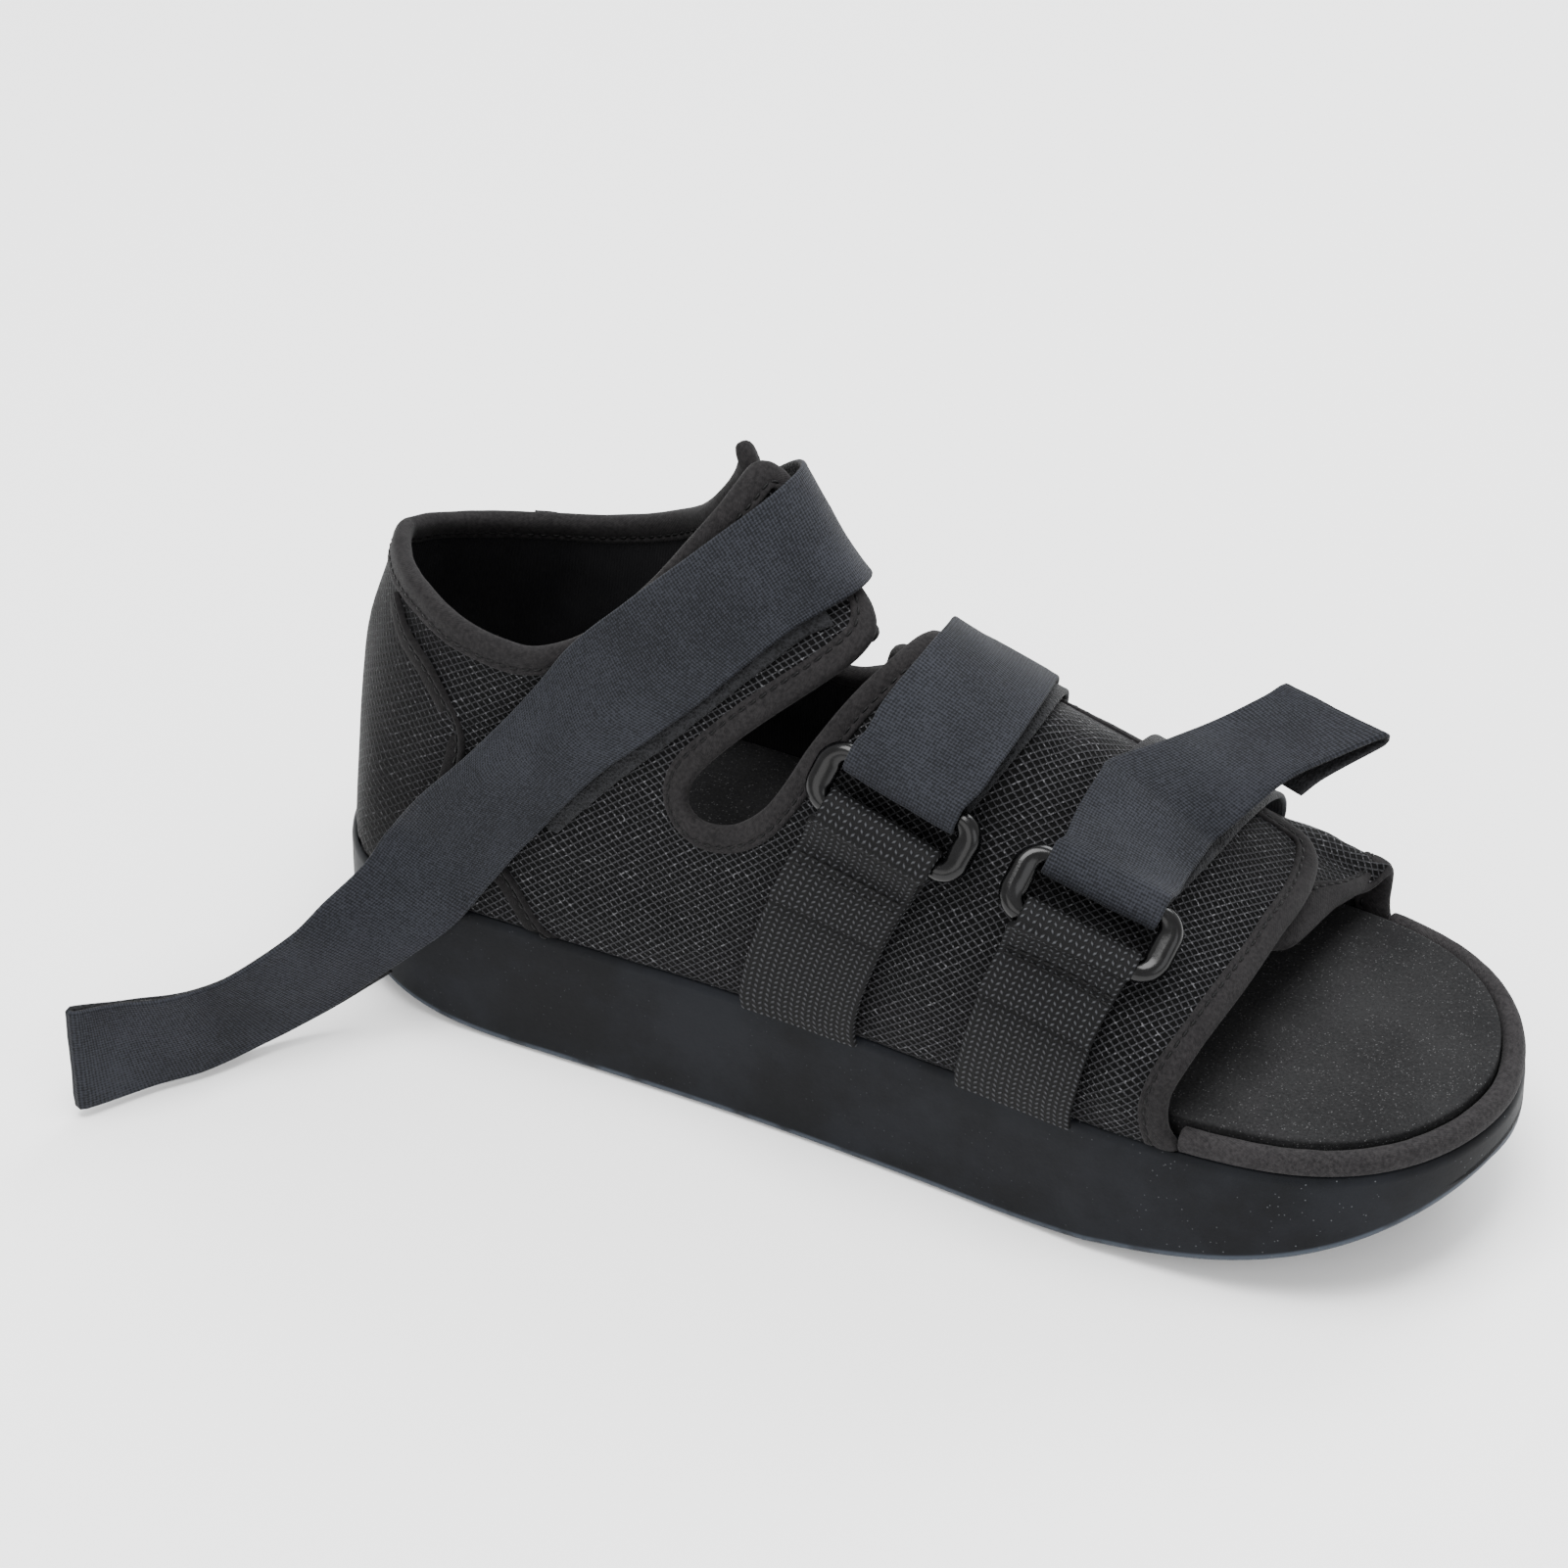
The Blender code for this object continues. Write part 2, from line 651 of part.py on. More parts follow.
FOREFOOT_TAB = (
    (19.5, 0.92, 10.8, 0.92),
    (20.1, 0.74, 11.1, 0.74),
    (21.0, 0.52, 11.1, 0.50),
    (21.7, 0.345, 10.9, 0.305),
)
ANKLE_PATH = (
    (53.0, -0.66, 46.6, -0.56),
    (56.5, -0.50, 48.4, -0.42),
    (59.4, -0.34, 49.8, -0.28),
    (62.0, -0.17, 50.6, -0.14),
    (62.9, 0.00, 51.3, 0.02),
    (62.1, 0.188, 52.0, 0.158),
    (60.1, 0.34, 51.0, 0.293),
    (58.6, 0.424, 50.3, 0.394),
    (56.4, 0.492, 49.8, 0.487),
    (54.1, 0.59, 48.7, 0.596),
    (51.9, 0.74, 47.5, 0.74),
)
STRAP_OFF = LAID_GAP + STRAP_THICK / 2
TAB_OFF = LAID_GAP + WEBBING_THICK / 2
BAR_ROOM = RING_WIRE / 2 + GAP


def layers(path, off, start, stop, count):
    return [across(path, blend(start, stop, k / (count - 1)), off) for k in range(count)]


def ring_seat(strap, tab):
    """Where a ring lies: its middle, directions, half sizes and the axes of its long bars."""
    bars, widths = [], []
    for path, off, thick in ((strap, STRAP_OFF, STRAP_THICK), (tab, TAB_OFF, WEBBING_THICK)):
        end = path["s"][-1]
        before, row = across(path, end - 0.3, off), across(path, end, off)
        up = facing(row, before)[0]
        bulge = max((p - q).dot(up) for p, q in zip(row, straight_row(row[0], row[-1])))
        bars.append([p + up * (bulge + BAR_ROOM + thick / 2) for p in (row[0], row[-1])])
        widths.append((row[-1] - row[0]).length)
    along = (bars[0][1] - bars[0][0] + bars[1][1] - bars[1][0]).normalized()
    upper, lower = (bars[0][0] + bars[0][1]) / 2, (bars[1][0] + bars[1][1]) / 2
    rise = upper - lower
    rise -= along * rise.dot(along)
    half = max(widths) / 2
    return {
        "centre": (upper + lower) / 2,
        "along": along,
        "rise": rise.normalized(),
        "up": along.cross(rise).normalized(),
        "tall": rise.length / 2,
        "wide": half + RING_CORNER,
        "half": half,
    }


def bar_row(seat, side):
    """Points along a ring's long bar, the upper one with side 1 and the lower with -1."""
    middle = seat["centre"] + seat["rise"] * seat["tall"] * side
    return straight_row(middle - seat["along"] * seat["half"], middle + seat["along"] * seat["half"])


def looped(path, off, thick, count, back_to, steps, seat, side):
    """Rows up to the ring, round its bar and back over the first layer to back_to."""
    last = path["s"][-1]
    up, ahead = seat["up"], -seat["rise"] * side
    radius = BAR_ROOM + thick / 2
    bar = bar_row(seat, side)
    end = [p - up * radius for p in bar]
    rows = layers(path, off, 0, last, count)
    rows[-1] = end
    rows[-2] = [p.lerp(q, 0.35) for p, q in zip(flattened(rows[-2], up, 0.5), rows[-3])]
    rows += fold(end, ahead, up, radius)
    rows.append([p - ahead * radius for p in rows[-1]])
    for k in range(1, steps + 1):
        t = (k + 0.4) / (steps + 0.4)
        row = across(path, blend(last, back_to, t), off + blend(2 * radius, thick + 0.5, ease(1.6 * t)))
        rows.append(flattened(row, up, max(0.0, 1 - 3 * t)))
    return rows


def tucked(rows, side, reach_back, steps):
    """Rows of a tab folded back along the strap's own end, on the side given."""
    ahead = facing(rows[-1], rows[-2])[1]
    radius = GAP + STRAP_THICK / 2
    turn = fold(rows[-1], ahead, side, radius, 4)
    walked, at, out = 0.0, len(rows) - 1, []
    for k in range(1, steps + 1):
        goal = reach_back * k / steps
        while at > 1 and walked + (rows[at][0] - rows[at - 1][0]).length < goal:
            walked += (rows[at][0] - rows[at - 1][0]).length
            at -= 1
        share = (goal - walked) / (rows[at][0] - rows[at - 1][0]).length
        out.append([p.lerp(q, share) + side * 2 * radius * (1 + 0.2 * k)
                    for p, q in zip(rows[at], rows[at - 1])])
    return rows + turn + out


def midfoot_strap(seat, mat):
    """Sewn at the far side, through the ring and back over itself to the far side."""
    rows = looped(path_of(MIDFOOT_PATH), STRAP_OFF, STRAP_THICK, 16, 2.4, 13, seat, 1)
    return ribbon("midfoot_strap", rows, STRAP_THICK, mat)


# Free end of the forefoot strap, standing off to the far side. Columns: how far the left
# edge has gone along, across and up from the ridge, then the right edge, as shares of the
# strap's width.
FOREFOOT_TAIL = (
    (0.25, 0.47, -0.05, 0.22, 0.30, 0.23),
    (0.40, 0.87, -0.13, 0.39, 0.53, 0.37),
    (0.69, 1.27, -0.04, 0.60, 0.77, 0.45),
    (0.78, 1.40, 0.01, 0.86, 1.10, 0.51),
)


def forefoot_strap(seat, mat):
    """Through its ring and back to the ridge, then free, the hook tab folded under its end."""
    rows = looped(path_of(FOREFOOT_PATH), STRAP_OFF, STRAP_THICK, 16, 5.0, 6, seat, 1)
    left, right = rows[-1][0], rows[-1][-1]
    for row in FOREFOOT_TAIL:
        ends = (left + Vector(row[:3]) * STRAP_WIDTH, right + Vector(row[3:]) * STRAP_WIDTH)
        rows.append(straight_row(*ends))
    up = facing(rows[-1], rows[-2])[0]
    rows = tucked(rows, up if up.z < 0 else -up, FOREFOOT_HOOK_TAB, 2)
    return ribbon("forefoot_strap", rows, STRAP_THICK, mat)


# Tail of the ankle strap, which leaves the heel and ends standing on its edge. Columns:
# upper edge along, across and up, then the lower edge, as shares of the sole's length.
ANKLE_TAIL = (
    (-0.418, -0.176, 0.164, -0.344, -0.159, 0.118),
    (-0.436, -0.212, 0.143, -0.375, -0.171, 0.087),
    (-0.448, -0.240, 0.127, -0.400, -0.183, 0.064),
    (-0.474, -0.267, 0.105, -0.431, -0.207, 0.038),
    (-0.495, -0.294, 0.095, -0.465, -0.240, 0.017),
    (-0.518, -0.332, 0.100, -0.503, -0.298, 0.008),
    (-0.544, -0.356, 0.103, -0.530, -0.333, 0.008),
    (-0.566, -0.384, 0.107, -0.564, -0.385, 0.008),
)


def ankle_strap(mat):
    """Sewn at the far side, round the front of the ankle and loose behind the heel."""
    rows = layers(path_of(ANKLE_PATH), STRAP_OFF, 0, len(ANKLE_PATH) - 1, 19)
    for row in ANKLE_TAIL:
        rows.append(straight_row(Vector(row[:3]) * SOLE_LENGTH, Vector(row[3:]) * SOLE_LENGTH))
    up = facing(rows[-1], rows[-2])[0]
    rows = tucked(rows, up if up.x < 0 else -up, HOOK_TAB, 4)
    return ribbon("ankle_strap", rows, STRAP_THICK, mat)


def ring_tab(name, table, seat, mat):
    """Webbing sewn in at the sole, round the ring's lower bar and stitched down."""
    rows = looped(path_of(table), TAB_OFF, WEBBING_THICK, 8, len(table) - 2.0, 4, seat, -1)
    return ribbon(name, rows, WEBBING_THICK, mat)


def make_ring(name, seat, mat):
    """Oblong loop whose two long bars lie in the folds of the strap and the webbing."""
    centre, along, rise = seat["centre"], seat["along"], seat["rise"]
    tall, wide = seat["tall"], seat["wide"]
    corner = RING_CORNER
    points = []
    for side, lift, first in ((1, 1, 0), (1, -1, 1), (-1, -1, 2), (-1, 1, 3)):
        pivot = centre + along * side * (wide - corner) + rise * lift * (tall - corner)
        for k in range(5):
            angle = pi / 2 * (1 - first - k / 4)
            points.append(pivot + along * corner * cos(angle) + rise * corner * sin(angle))
    data = bpy.data.curves.new(name, "CURVE")
    data.dimensions = "3D"
    data.bevel_depth = RING_WIRE / 2 * MM
    data.bevel_resolution = 2
    spline = data.splines.new("POLY")
    spline.points.add(len(points) - 1)
    for place_at, p in zip(spline.points, points):
        place_at.co = (*(p * MM), 1.0)
    spline.use_cyclic_u = True
    data.materials.append(mat)
    obj = bpy.data.objects.new(name, data)
    parts.objects.link(obj)
    return obj


def make_rim(mat):
    """Bound bolster round the toe, from flap to flap, seated on the sole's edge."""
    space = BOUND_WALL / 2 + 2 * GAP
    near_end = foot_x(SOLE_START["near"]) + space
    far_end = foot_x(SOLE_START["far"]) + space
    near_xs = [near_end] + [x for x in outline_stations() if x > near_end + 1.0]
    far_xs = [far_end] + [x for x in outline_stations() if x > far_end + 1.0]
    shape = ((0.0, 0.0), (0.0, 0.55), (0.16, 0.88), (0.5, 1.0), (0.84, 0.88), (1.0, 0.55), (1.0, 0.0))
    rings = []
    for across_share, up_share in shape:
        inset = RIM_INSET + RIM_WIDTH * across_share
        far = [Vector((p.x, -p.y)) for p in reversed(inset_outline(inset, far_xs)[:-1])]
        rings.append([(p.x, p.y, SEAT + RIM_HEIGHT * up_share) for p in inset_outline(inset, near_xs) + far])
    length = len(rings[0])
    verts = [p for ring in rings for p in ring]
    faces = []
    for k in range(len(rings)):
        m = (k + 1) % len(rings)
        for i in range(length - 1):
            faces.append((k * length + i, k * length + i + 1, m * length + i + 1, m * length + i))
    faces.append(tuple(k * length for k in range(len(rings))))
    faces.append(tuple(k * length + length - 1 for k in range(len(rings))))
    return new_object("toe_rim", verts, faces, mat)


for old in list(bpy.data.objects):
    bpy.data.objects.remove(old, do_unlink=True)
parts = bpy.data.collections.new("post_operative_shoe")
bpy.context.scene.collection.children.link(parts)
cutters = bpy.data.collections.new("cutters")
bpy.context.scene.collection.children.link(cutters)

rubber = material("sole_rubber", (0.012, 0.013, 0.016), 0.62)
foam = material("insole_foam", (0.016, 0.016, 0.017), 0.85)
mesh_cloth = material("spacer_mesh", (0.010, 0.010, 0.011), 0.75)
binding = material("binding_tape", (0.018, 0.017, 0.018), 0.80)
loop_tape = material("loop_tape", (0.014, 0.015, 0.019), 0.85)
webbing = material("webbing", (0.010, 0.010, 0.011), 0.70)
plastic = material("ring_plastic", (0.006, 0.006, 0.007), 0.28)

make_sole(rubber)
make_insole(foam)
make_rim(binding)
make_upper(mesh_cloth)
ankle_strap(loop_tape)
midfoot_seat = ring_seat(path_of(MIDFOOT_PATH), path_of(MIDFOOT_TAB))
midfoot_strap(midfoot_seat, loop_tape)
ring_tab("midfoot_tab", MIDFOOT_TAB, midfoot_seat, webbing)
make_ring("midfoot_ring", midfoot_seat, plastic)
forefoot_seat = ring_seat(path_of(FOREFOOT_PATH), path_of(FOREFOOT_TAB))
forefoot_strap(forefoot_seat, loop_tape)
ring_tab("forefoot_tab", FOREFOOT_TAB, forefoot_seat, webbing)
make_ring("forefoot_ring", forefoot_seat, plastic)
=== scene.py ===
# Post operative shoe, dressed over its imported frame. Sizes are in millimetres until a mesh
# is made; +X points to the toe and -Y is the side with the rings.
from math import cos, pi, radians, sin

import bmesh
import bpy
import numpy as np
from mathutils import Matrix, Vector
from mathutils.geometry import delaunay_2d_cdt


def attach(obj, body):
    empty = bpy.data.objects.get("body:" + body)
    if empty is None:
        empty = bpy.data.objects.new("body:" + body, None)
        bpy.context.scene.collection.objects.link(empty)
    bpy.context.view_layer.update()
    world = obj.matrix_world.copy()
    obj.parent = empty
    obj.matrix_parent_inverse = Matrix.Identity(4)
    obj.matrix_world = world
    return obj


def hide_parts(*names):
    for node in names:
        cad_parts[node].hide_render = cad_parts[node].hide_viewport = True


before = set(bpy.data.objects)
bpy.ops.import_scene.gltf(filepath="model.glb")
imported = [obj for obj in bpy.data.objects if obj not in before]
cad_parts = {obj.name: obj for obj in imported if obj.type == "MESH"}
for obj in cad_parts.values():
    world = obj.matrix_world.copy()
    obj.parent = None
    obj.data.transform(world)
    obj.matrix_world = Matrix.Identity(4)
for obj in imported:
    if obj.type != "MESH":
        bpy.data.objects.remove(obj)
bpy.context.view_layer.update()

# Camera: the photograph looks down on the ring side, a little from the toe, from well away
# with a long lens, which keeps the perspective small.
MM = 0.001
VIEW_TURN, VIEW_RISE = radians(26.7), radians(36.77)
CAMERA_AWAY, LENS, SENSOR = 1400.0, 137.5, 36.0
AIM_RIGHT, AIM_UP, AIM_BACK = -32.1, 60.7, -1.5
toward = Vector((sin(VIEW_TURN) * cos(VIEW_RISE), -cos(VIEW_TURN) * cos(VIEW_RISE), sin(VIEW_RISE)))
rightward = Vector((cos(VIEW_TURN), sin(VIEW_TURN), 0.0))
upward = toward.cross(rightward)
aim = rightward * AIM_RIGHT + upward * AIM_UP + Vector((AIM_BACK, 0.0, 0.0))
lens = bpy.data.cameras.new("camera")
lens.lens, lens.sensor_width = LENS, SENSOR
camera = bpy.data.objects.new("camera", lens)
axes = Matrix((rightward, upward, toward)).transposed().to_4x4()
camera.matrix_world = Matrix.Translation((aim + toward * CAMERA_AWAY) * MM) @ axes
bpy.context.scene.collection.objects.link(camera)
bpy.context.scene.camera = camera

# Studio: a pale matt floor, a broad soft light overhead and weaker ones from the toe, the near
# side and behind, all aimed at the middle of the shoe, in a pale room.
FLOOR_SIDE, AIMED_AT = 9.0, Vector((0.0, 0.0, 0.06))
ROOM_LIGHT = 1.2
FLOOR_COLOUR = (0.97, 0.97, 0.97)
bpy.ops.mesh.primitive_grid_add(x_subdivisions=2, y_subdivisions=2, size=FLOOR_SIDE)
floor = bpy.context.object
floor.name = "floor"
paint = bpy.data.materials.new("floor_paint")
paint.use_nodes = True
floor_shader = paint.node_tree.nodes["Principled BSDF"]
floor_shader.inputs["Base Color"].default_value = (*FLOOR_COLOUR, 1.0)
floor_shader.inputs["Roughness"].default_value = 0.9
floor.data.materials.append(paint)
for name, place_at, side, power, tint in (
    ("top_light", (-0.05, -0.20, 1.55), 1.0, 46.0, (1.0, 1.0, 1.0)),
    ("toe_light", (1.35, -0.55, 0.75), 0.9, 7.0, (0.97, 0.98, 1.0)),
    ("near_light", (0.05, -1.55, 0.80), 1.0, 9.0, (1.0, 0.99, 0.98)),
    ("back_light", (0.15, 1.5, 1.2), 1.0, 30.0, (0.96, 0.98, 1.0)),
):
    lamp = bpy.data.lights.new(name, "AREA")
    lamp.size, lamp.energy, lamp.color = side, power, tint
    lamp_object = bpy.data.objects.new(name, lamp)
    lamp_object.location = place_at
    lamp_object.rotation_mode = "QUATERNION"
    lamp_object.rotation_quaternion = (Vector(place_at) - AIMED_AT).to_track_quat("Z", "Y")
    bpy.context.scene.collection.objects.link(lamp_object)
room = bpy.data.worlds.new("room")
room.use_nodes = True
room.node_tree.nodes["Background"].inputs["Color"].default_value = (1.0, 1.0, 1.0, 1.0)
room.node_tree.nodes["Background"].inputs["Strength"].default_value = ROOM_LIGHT
bpy.context.scene.world = room


# Sole: one block of moulded foam rubber, matt black with a cool cast, its tread flat under
# heel, arch and ball and curving up to the toe. The upper is cemented on its top edge.
SOLE_LENGTH, SOLE_THICK = 287.0, 36.0
BALL_WIDTH, HEEL_WIDTH = 99.0, 88.0
TOE_SPRING, HEEL_BEVEL, SOLE_EDGE, SOLE_LIP = 26.0, 13.5, 2.5, 1.2
HEEL_START, BALL_START = -0.339 * SOLE_LENGTH, 0.217 * SOLE_LENGTH
FLAT_BACK, FLAT_FRONT = -0.301 * SOLE_LENGTH, 0.117 * SOLE_LENGTH
SIDES = np.array(((-0.339, 1.00, 0.00), (-0.110, 0.99, 0.00), (0.065, 0.50, 0.48), (0.217, 0.00, 1.00)))
HEEL_ROUND, TOE_ROUND = (2.6, 2.5), (3.56, 1.80)
HALF = SOLE_LENGTH / 2


def curve(xs, ys, x):
    """Smooth curve through the points (xs, ys), flat beyond its ends."""
    xs, ys, x = np.asarray(xs, float), np.asarray(ys, float), np.asarray(x, float)
    last = len(xs) - 1
    after, before = np.minimum(np.arange(last + 1) + 1, last), np.maximum(np.arange(last + 1) - 1, 0)
    slope = (ys[after] - ys[before]) / (xs[after] - xs[before])
    held = np.clip(x, xs[0], xs[-1])
    i = np.clip(np.searchsorted(xs, held, side="right") - 1, 0, last - 1)
    step = xs[i + 1] - xs[i]
    t = (held - xs[i]) / step
    lift = t * t * (3 - 2 * t) * (ys[i + 1] - ys[i])
    return ys[i] + lift + step * (t * (1 - t) ** 2 * slope[i] - t * t * (1 - t) * slope[i + 1])


def closing(k, along, around):
    """Rounded end of an outline: 1 at its start k = 0, 0 at its tip k = 1."""
    return (1 - np.clip(k, 0.0, 1.0) ** along) ** (1 / around)


def side_half(x):
    """Half width of the sole between heel and ball."""
    return curve(SIDES[:, 0] * SOLE_LENGTH, (SIDES[:, 1] * HEEL_WIDTH + SIDES[:, 2] * BALL_WIDTH) / 2, x)


def sole_half(x):
    """Half width of the sole anywhere along it."""
    x = np.asarray(x, float)
    heel = side_half(HEEL_START) * closing((HEEL_START - x) / (HEEL_START + HALF), *HEEL_ROUND)
    toe = side_half(BALL_START) * closing((x - BALL_START) / (HALF - BALL_START), *TOE_ROUND)
    return np.where(x < HEEL_START, heel, np.where(x > BALL_START, toe, side_half(x)))


def toe_stations(turns):
    """Places from the ball to the toe's tip, closer together towards it."""
    return BALL_START + (HALF - BALL_START) * np.sin(pi / 2 * np.arange(turns + 1) / turns) ** (2 / TOE_ROUND[0])


def outline_stations(turns=46, straight=70):
    """Places along the sole, closer together where the ends turn."""
    k = np.arange(turns, 0, -1) / turns
    back = HEEL_START - (HEEL_START + HALF) * np.sin(pi / 2 * k) ** (2 / HEEL_ROUND[0])
    middle = np.linspace(HEEL_START, BALL_START, straight, endpoint=False)
    return np.concatenate((back, middle, toe_stations(turns)))


def sole_loop(inset):
    """The sole's outline moved in by inset, once round from the heel's back along the near side."""
    xs = outline_stations()
    near = np.stack((xs, -sole_half(xs)), 1)
    loop = np.concatenate((near, near[-2:0:-1] * (1, -1)))
    along = np.roll(loop, -1, 0) - np.roll(loop, 1, 0)
    along /= np.linalg.norm(along, axis=1, keepdims=True)
    return loop + np.stack((-along[:, 1], along[:, 0]), 1) * inset


def tread(x):
    """Height of the bottom: flat in the middle, an arc up to the toe and one to the heel."""
    x = np.asarray(x, float)
    toe_run, heel_run = HALF - FLAT_FRONT, HALF + FLAT_BACK
    toe_arc = (toe_run ** 2 + TOE_SPRING ** 2) / (2 * TOE_SPRING)
    heel_arc = (heel_run ** 2 + HEEL_BEVEL ** 2) / (2 * HEEL_BEVEL)
    toe = toe_arc - np.sqrt(toe_arc ** 2 - np.clip(x - FLAT_FRONT, 0, toe_run) ** 2)
    heel = heel_arc - np.sqrt(heel_arc ** 2 - np.clip(FLAT_BACK - x, 0, heel_run) ** 2)
    return toe + heel


def make_mesh(name, points, faces, uv=None, smooth_angle=50.0):
    """Object from points in millimetres. uv holds one pair in millimetres for each point."""
    mesh = bpy.data.meshes.new(name)
    mesh.from_pydata((np.asarray(points) * MM).tolist(), [], faces)
    if uv is not None:
        layer = mesh.uv_layers.new(name="cloth")
        loops = np.zeros(len(mesh.loops), np.int32)
        mesh.loops.foreach_get("vertex_index", loops)
        layer.data.foreach_set("uv", np.asarray(uv, np.float32)[loops].ravel())
    work = bmesh.new()
    work.from_mesh(mesh)
    bmesh.ops.recalc_face_normals(work, faces=work.faces)
    work.to_mesh(mesh)
    work.free()
    mesh.shade_smooth()
    mesh.set_sharp_from_angle(angle=radians(smooth_angle))
    piece = bpy.data.objects.new(name, mesh)
    bpy.context.scene.collection.objects.link(piece)
    return piece


def stacked_faces(rings, count):
    """Quads between rings of count points each, every ring closed."""
    return [(k * count + i, k * count + (i + 1) % count, (k + 1) * count + (i + 1) % count, (k + 1) * count + i)
            for k in range(rings - 1) for i in range(count)]


def lid(base, count):
    """Strips across a closed ring that starts at the heel's back and is the same on both sides."""
    faces = [(base, base + 1, base + count - 1)]
    faces += [(base + i, base + i + 1, base + count - i - 1, base + count - i) for i in range(1, count // 2 - 1)]
    middle = count // 2
    return faces + [(base + middle - 1, base + middle, base + middle + 1)]


def end_caps(rows, count):
    """One face over each end of a tube made of rows of count points."""
    return [tuple(range(count)), tuple(range((rows - 1) * count, rows * count))]


class Signal:
    """A value that varies over a surface: one socket in a material's node tree."""

    def __init__(self, tree, socket=None):
        self.tree, self.socket = tree, socket

    def node(self, kind, settings=(), sockets=(), out=0):
        """Adds any node: its settings first, then the values or links of its sockets."""
        made = self.tree.nodes.new(kind)
        for key, value in dict(settings).items():
            if key == "stops":
                for at, colour in value[len(made.color_ramp.elements):]:
                    made.color_ramp.elements.new(at)
                for element, (at, colour) in zip(made.color_ramp.elements, value):
                    element.position, element.color = at, (*colour, 1.0)
            else:
                setattr(made, key, value)
        for key, value in dict(sockets).items():
            if isinstance(value, Signal):
                self.tree.links.new(value.socket, made.inputs[key])
            else:
                made.inputs[key].default_value = value
        return Signal(self.tree, made.outputs[out])

    def math(self, operation, other=0.0, swap=False):
        """One Math node over this value and another, which comes first if swapped."""
        values = (other, self) if swap else (self, other)
        return self.node("ShaderNodeMath", {"operation": operation}, dict(enumerate(values)))

    def __add__(self, other): return self.math("ADD", other)
    def __radd__(self, other): return self.math("ADD", other, swap=True)
    def __sub__(self, other): return self.math("SUBTRACT", other)
    def __rsub__(self, other): return self.math("SUBTRACT", other, swap=True)
    def __mul__(self, other): return self.math("MULTIPLY", other)
    def __rmul__(self, other): return self.math("MULTIPLY", other, swap=True)
    def __truediv__(self, other): return self.math("DIVIDE", other)

    def part(self, name):
        """X, Y or Z of a vector."""
        return self.node("ShaderNodeSeparateXYZ", (), {0: self}, "XYZ".index(name))

    def ramp(self, low, high):
        """0 below low, 1 above high, smooth between."""
        return self.node("ShaderNodeMapRange", {"interpolation_type": "SMOOTHSTEP"},
                         {"Value": self, "From Min": low, "From Max": high})

    def noise(self, size, detail=2.0, rough=0.5):
        """Cloudy noise over this vector, its blotches about size long."""
        return self.node("ShaderNodeTexNoise", (), {"Vector": self, "Scale": 1 / size, "Detail": detail,
                                                    "Roughness": rough}, "Fac")

    def cells(self, size):
        """Distance from scattered points about size apart."""
        return self.node("ShaderNodeTexVoronoi", (), {"Vector": self, "Scale": 1 / size}, "Distance")

    def mix(self, first, second):
        """Colour between two colours, by this value."""
        sockets = {0: self}
        for key, colour in ((6, first), (7, second)):
            sockets[key] = colour if isinstance(colour, Signal) else (*colour, 1.0)
        return self.node("ShaderNodeMix", {"data_type": "RGBA"}, sockets, 2)


class Finish:
    """A material being made: its shader, and where a spot is in millimetres, in space (at)
    and on the flat cloth (cloth)."""

    def __init__(self, name, gloss=0.5, sheen=0.0):
        self.material = bpy.data.materials.new(name)
        self.material.use_nodes = True
        self.tree = self.material.node_tree
        self.shader = self.tree.nodes["Principled BSDF"]
        self.shader.inputs["Specular IOR Level"].default_value = gloss
        self.shader.inputs["Sheen Weight"].default_value = sheen
        self.shader.inputs["Sheen Roughness"].default_value = 0.45
        start = Signal(self.tree)
        space = start.node("ShaderNodeTexCoord", (), (), "Object")
        self.at = start.node("ShaderNodeVectorMath", {"operation": "SCALE"}, {0: space, "Scale": 1 / MM})
        self.cloth = start.node("ShaderNodeUVMap", {"uv_map": "cloth"})

    def paint(self, colour, roughness, height=None, depth=0.3):
        """Sends colour, roughness and relief, its depth in millimetres, to the shader."""
        for name, value in (("Base Color", colour), ("Roughness", roughness)):
            if isinstance(value, Signal):
                self.tree.links.new(value.socket, self.shader.inputs[name])
            else:
                self.shader.inputs[name].default_value = (*value, 1.0) if name == "Base Color" else value
        if height is not None:
            bump = height.node("ShaderNodeBump", (), {"Strength": 1.0, "Distance": depth * MM, "Height": height})
            self.tree.links.new(bump.socket, self.shader.inputs["Normal"])
        return self.material


SOLE_PROFILE = (
    # inset from the outline, height over the tread (below 0: down from the top)
    (SOLE_EDGE + 3.0, 0.0), (SOLE_EDGE, 0.0), (SOLE_EDGE * 0.55, 0.12), (SOLE_EDGE * 0.25, 0.7),
    (0.05, 1.7), (0.0, 2.6), (0.0, 4.0), (0.0, -9.0), (0.05, -2.6), (0.2, -1.5), (0.7, -0.6), (SOLE_LIP, -0.15),
    (SOLE_LIP + 1.2, 0.0),
)
rings = []
for row, (inset, height) in enumerate(SOLE_PROFILE):
    flat_ring = sole_loop(inset)
    on_top = height < 0 or row == len(SOLE_PROFILE) - 1
    rise = SOLE_THICK + height if on_top else tread(flat_ring[:, 0]) + height
    rings.append(np.column_stack((flat_ring, np.broadcast_to(rise, len(flat_ring)))))
round_count = len(rings[0])
points = np.concatenate(rings)
sole = make_mesh("foam_sole", points, stacked_faces(len(rings), round_count)
                 + lid(0, round_count) + lid((len(rings) - 1) * round_count, round_count),
                 np.stack((points[:, 0], points[:, 2] - tread(points[:, 0])), 1))
rubber = Finish("foam_rubber", gloss=0.09)
grain = rubber.at.noise(0.9, 3.0)
cloud = rubber.at.noise(26.0, 4.0, 0.6)
specks = 1 - rubber.at.cells(1.7).ramp(0.06, 0.13)
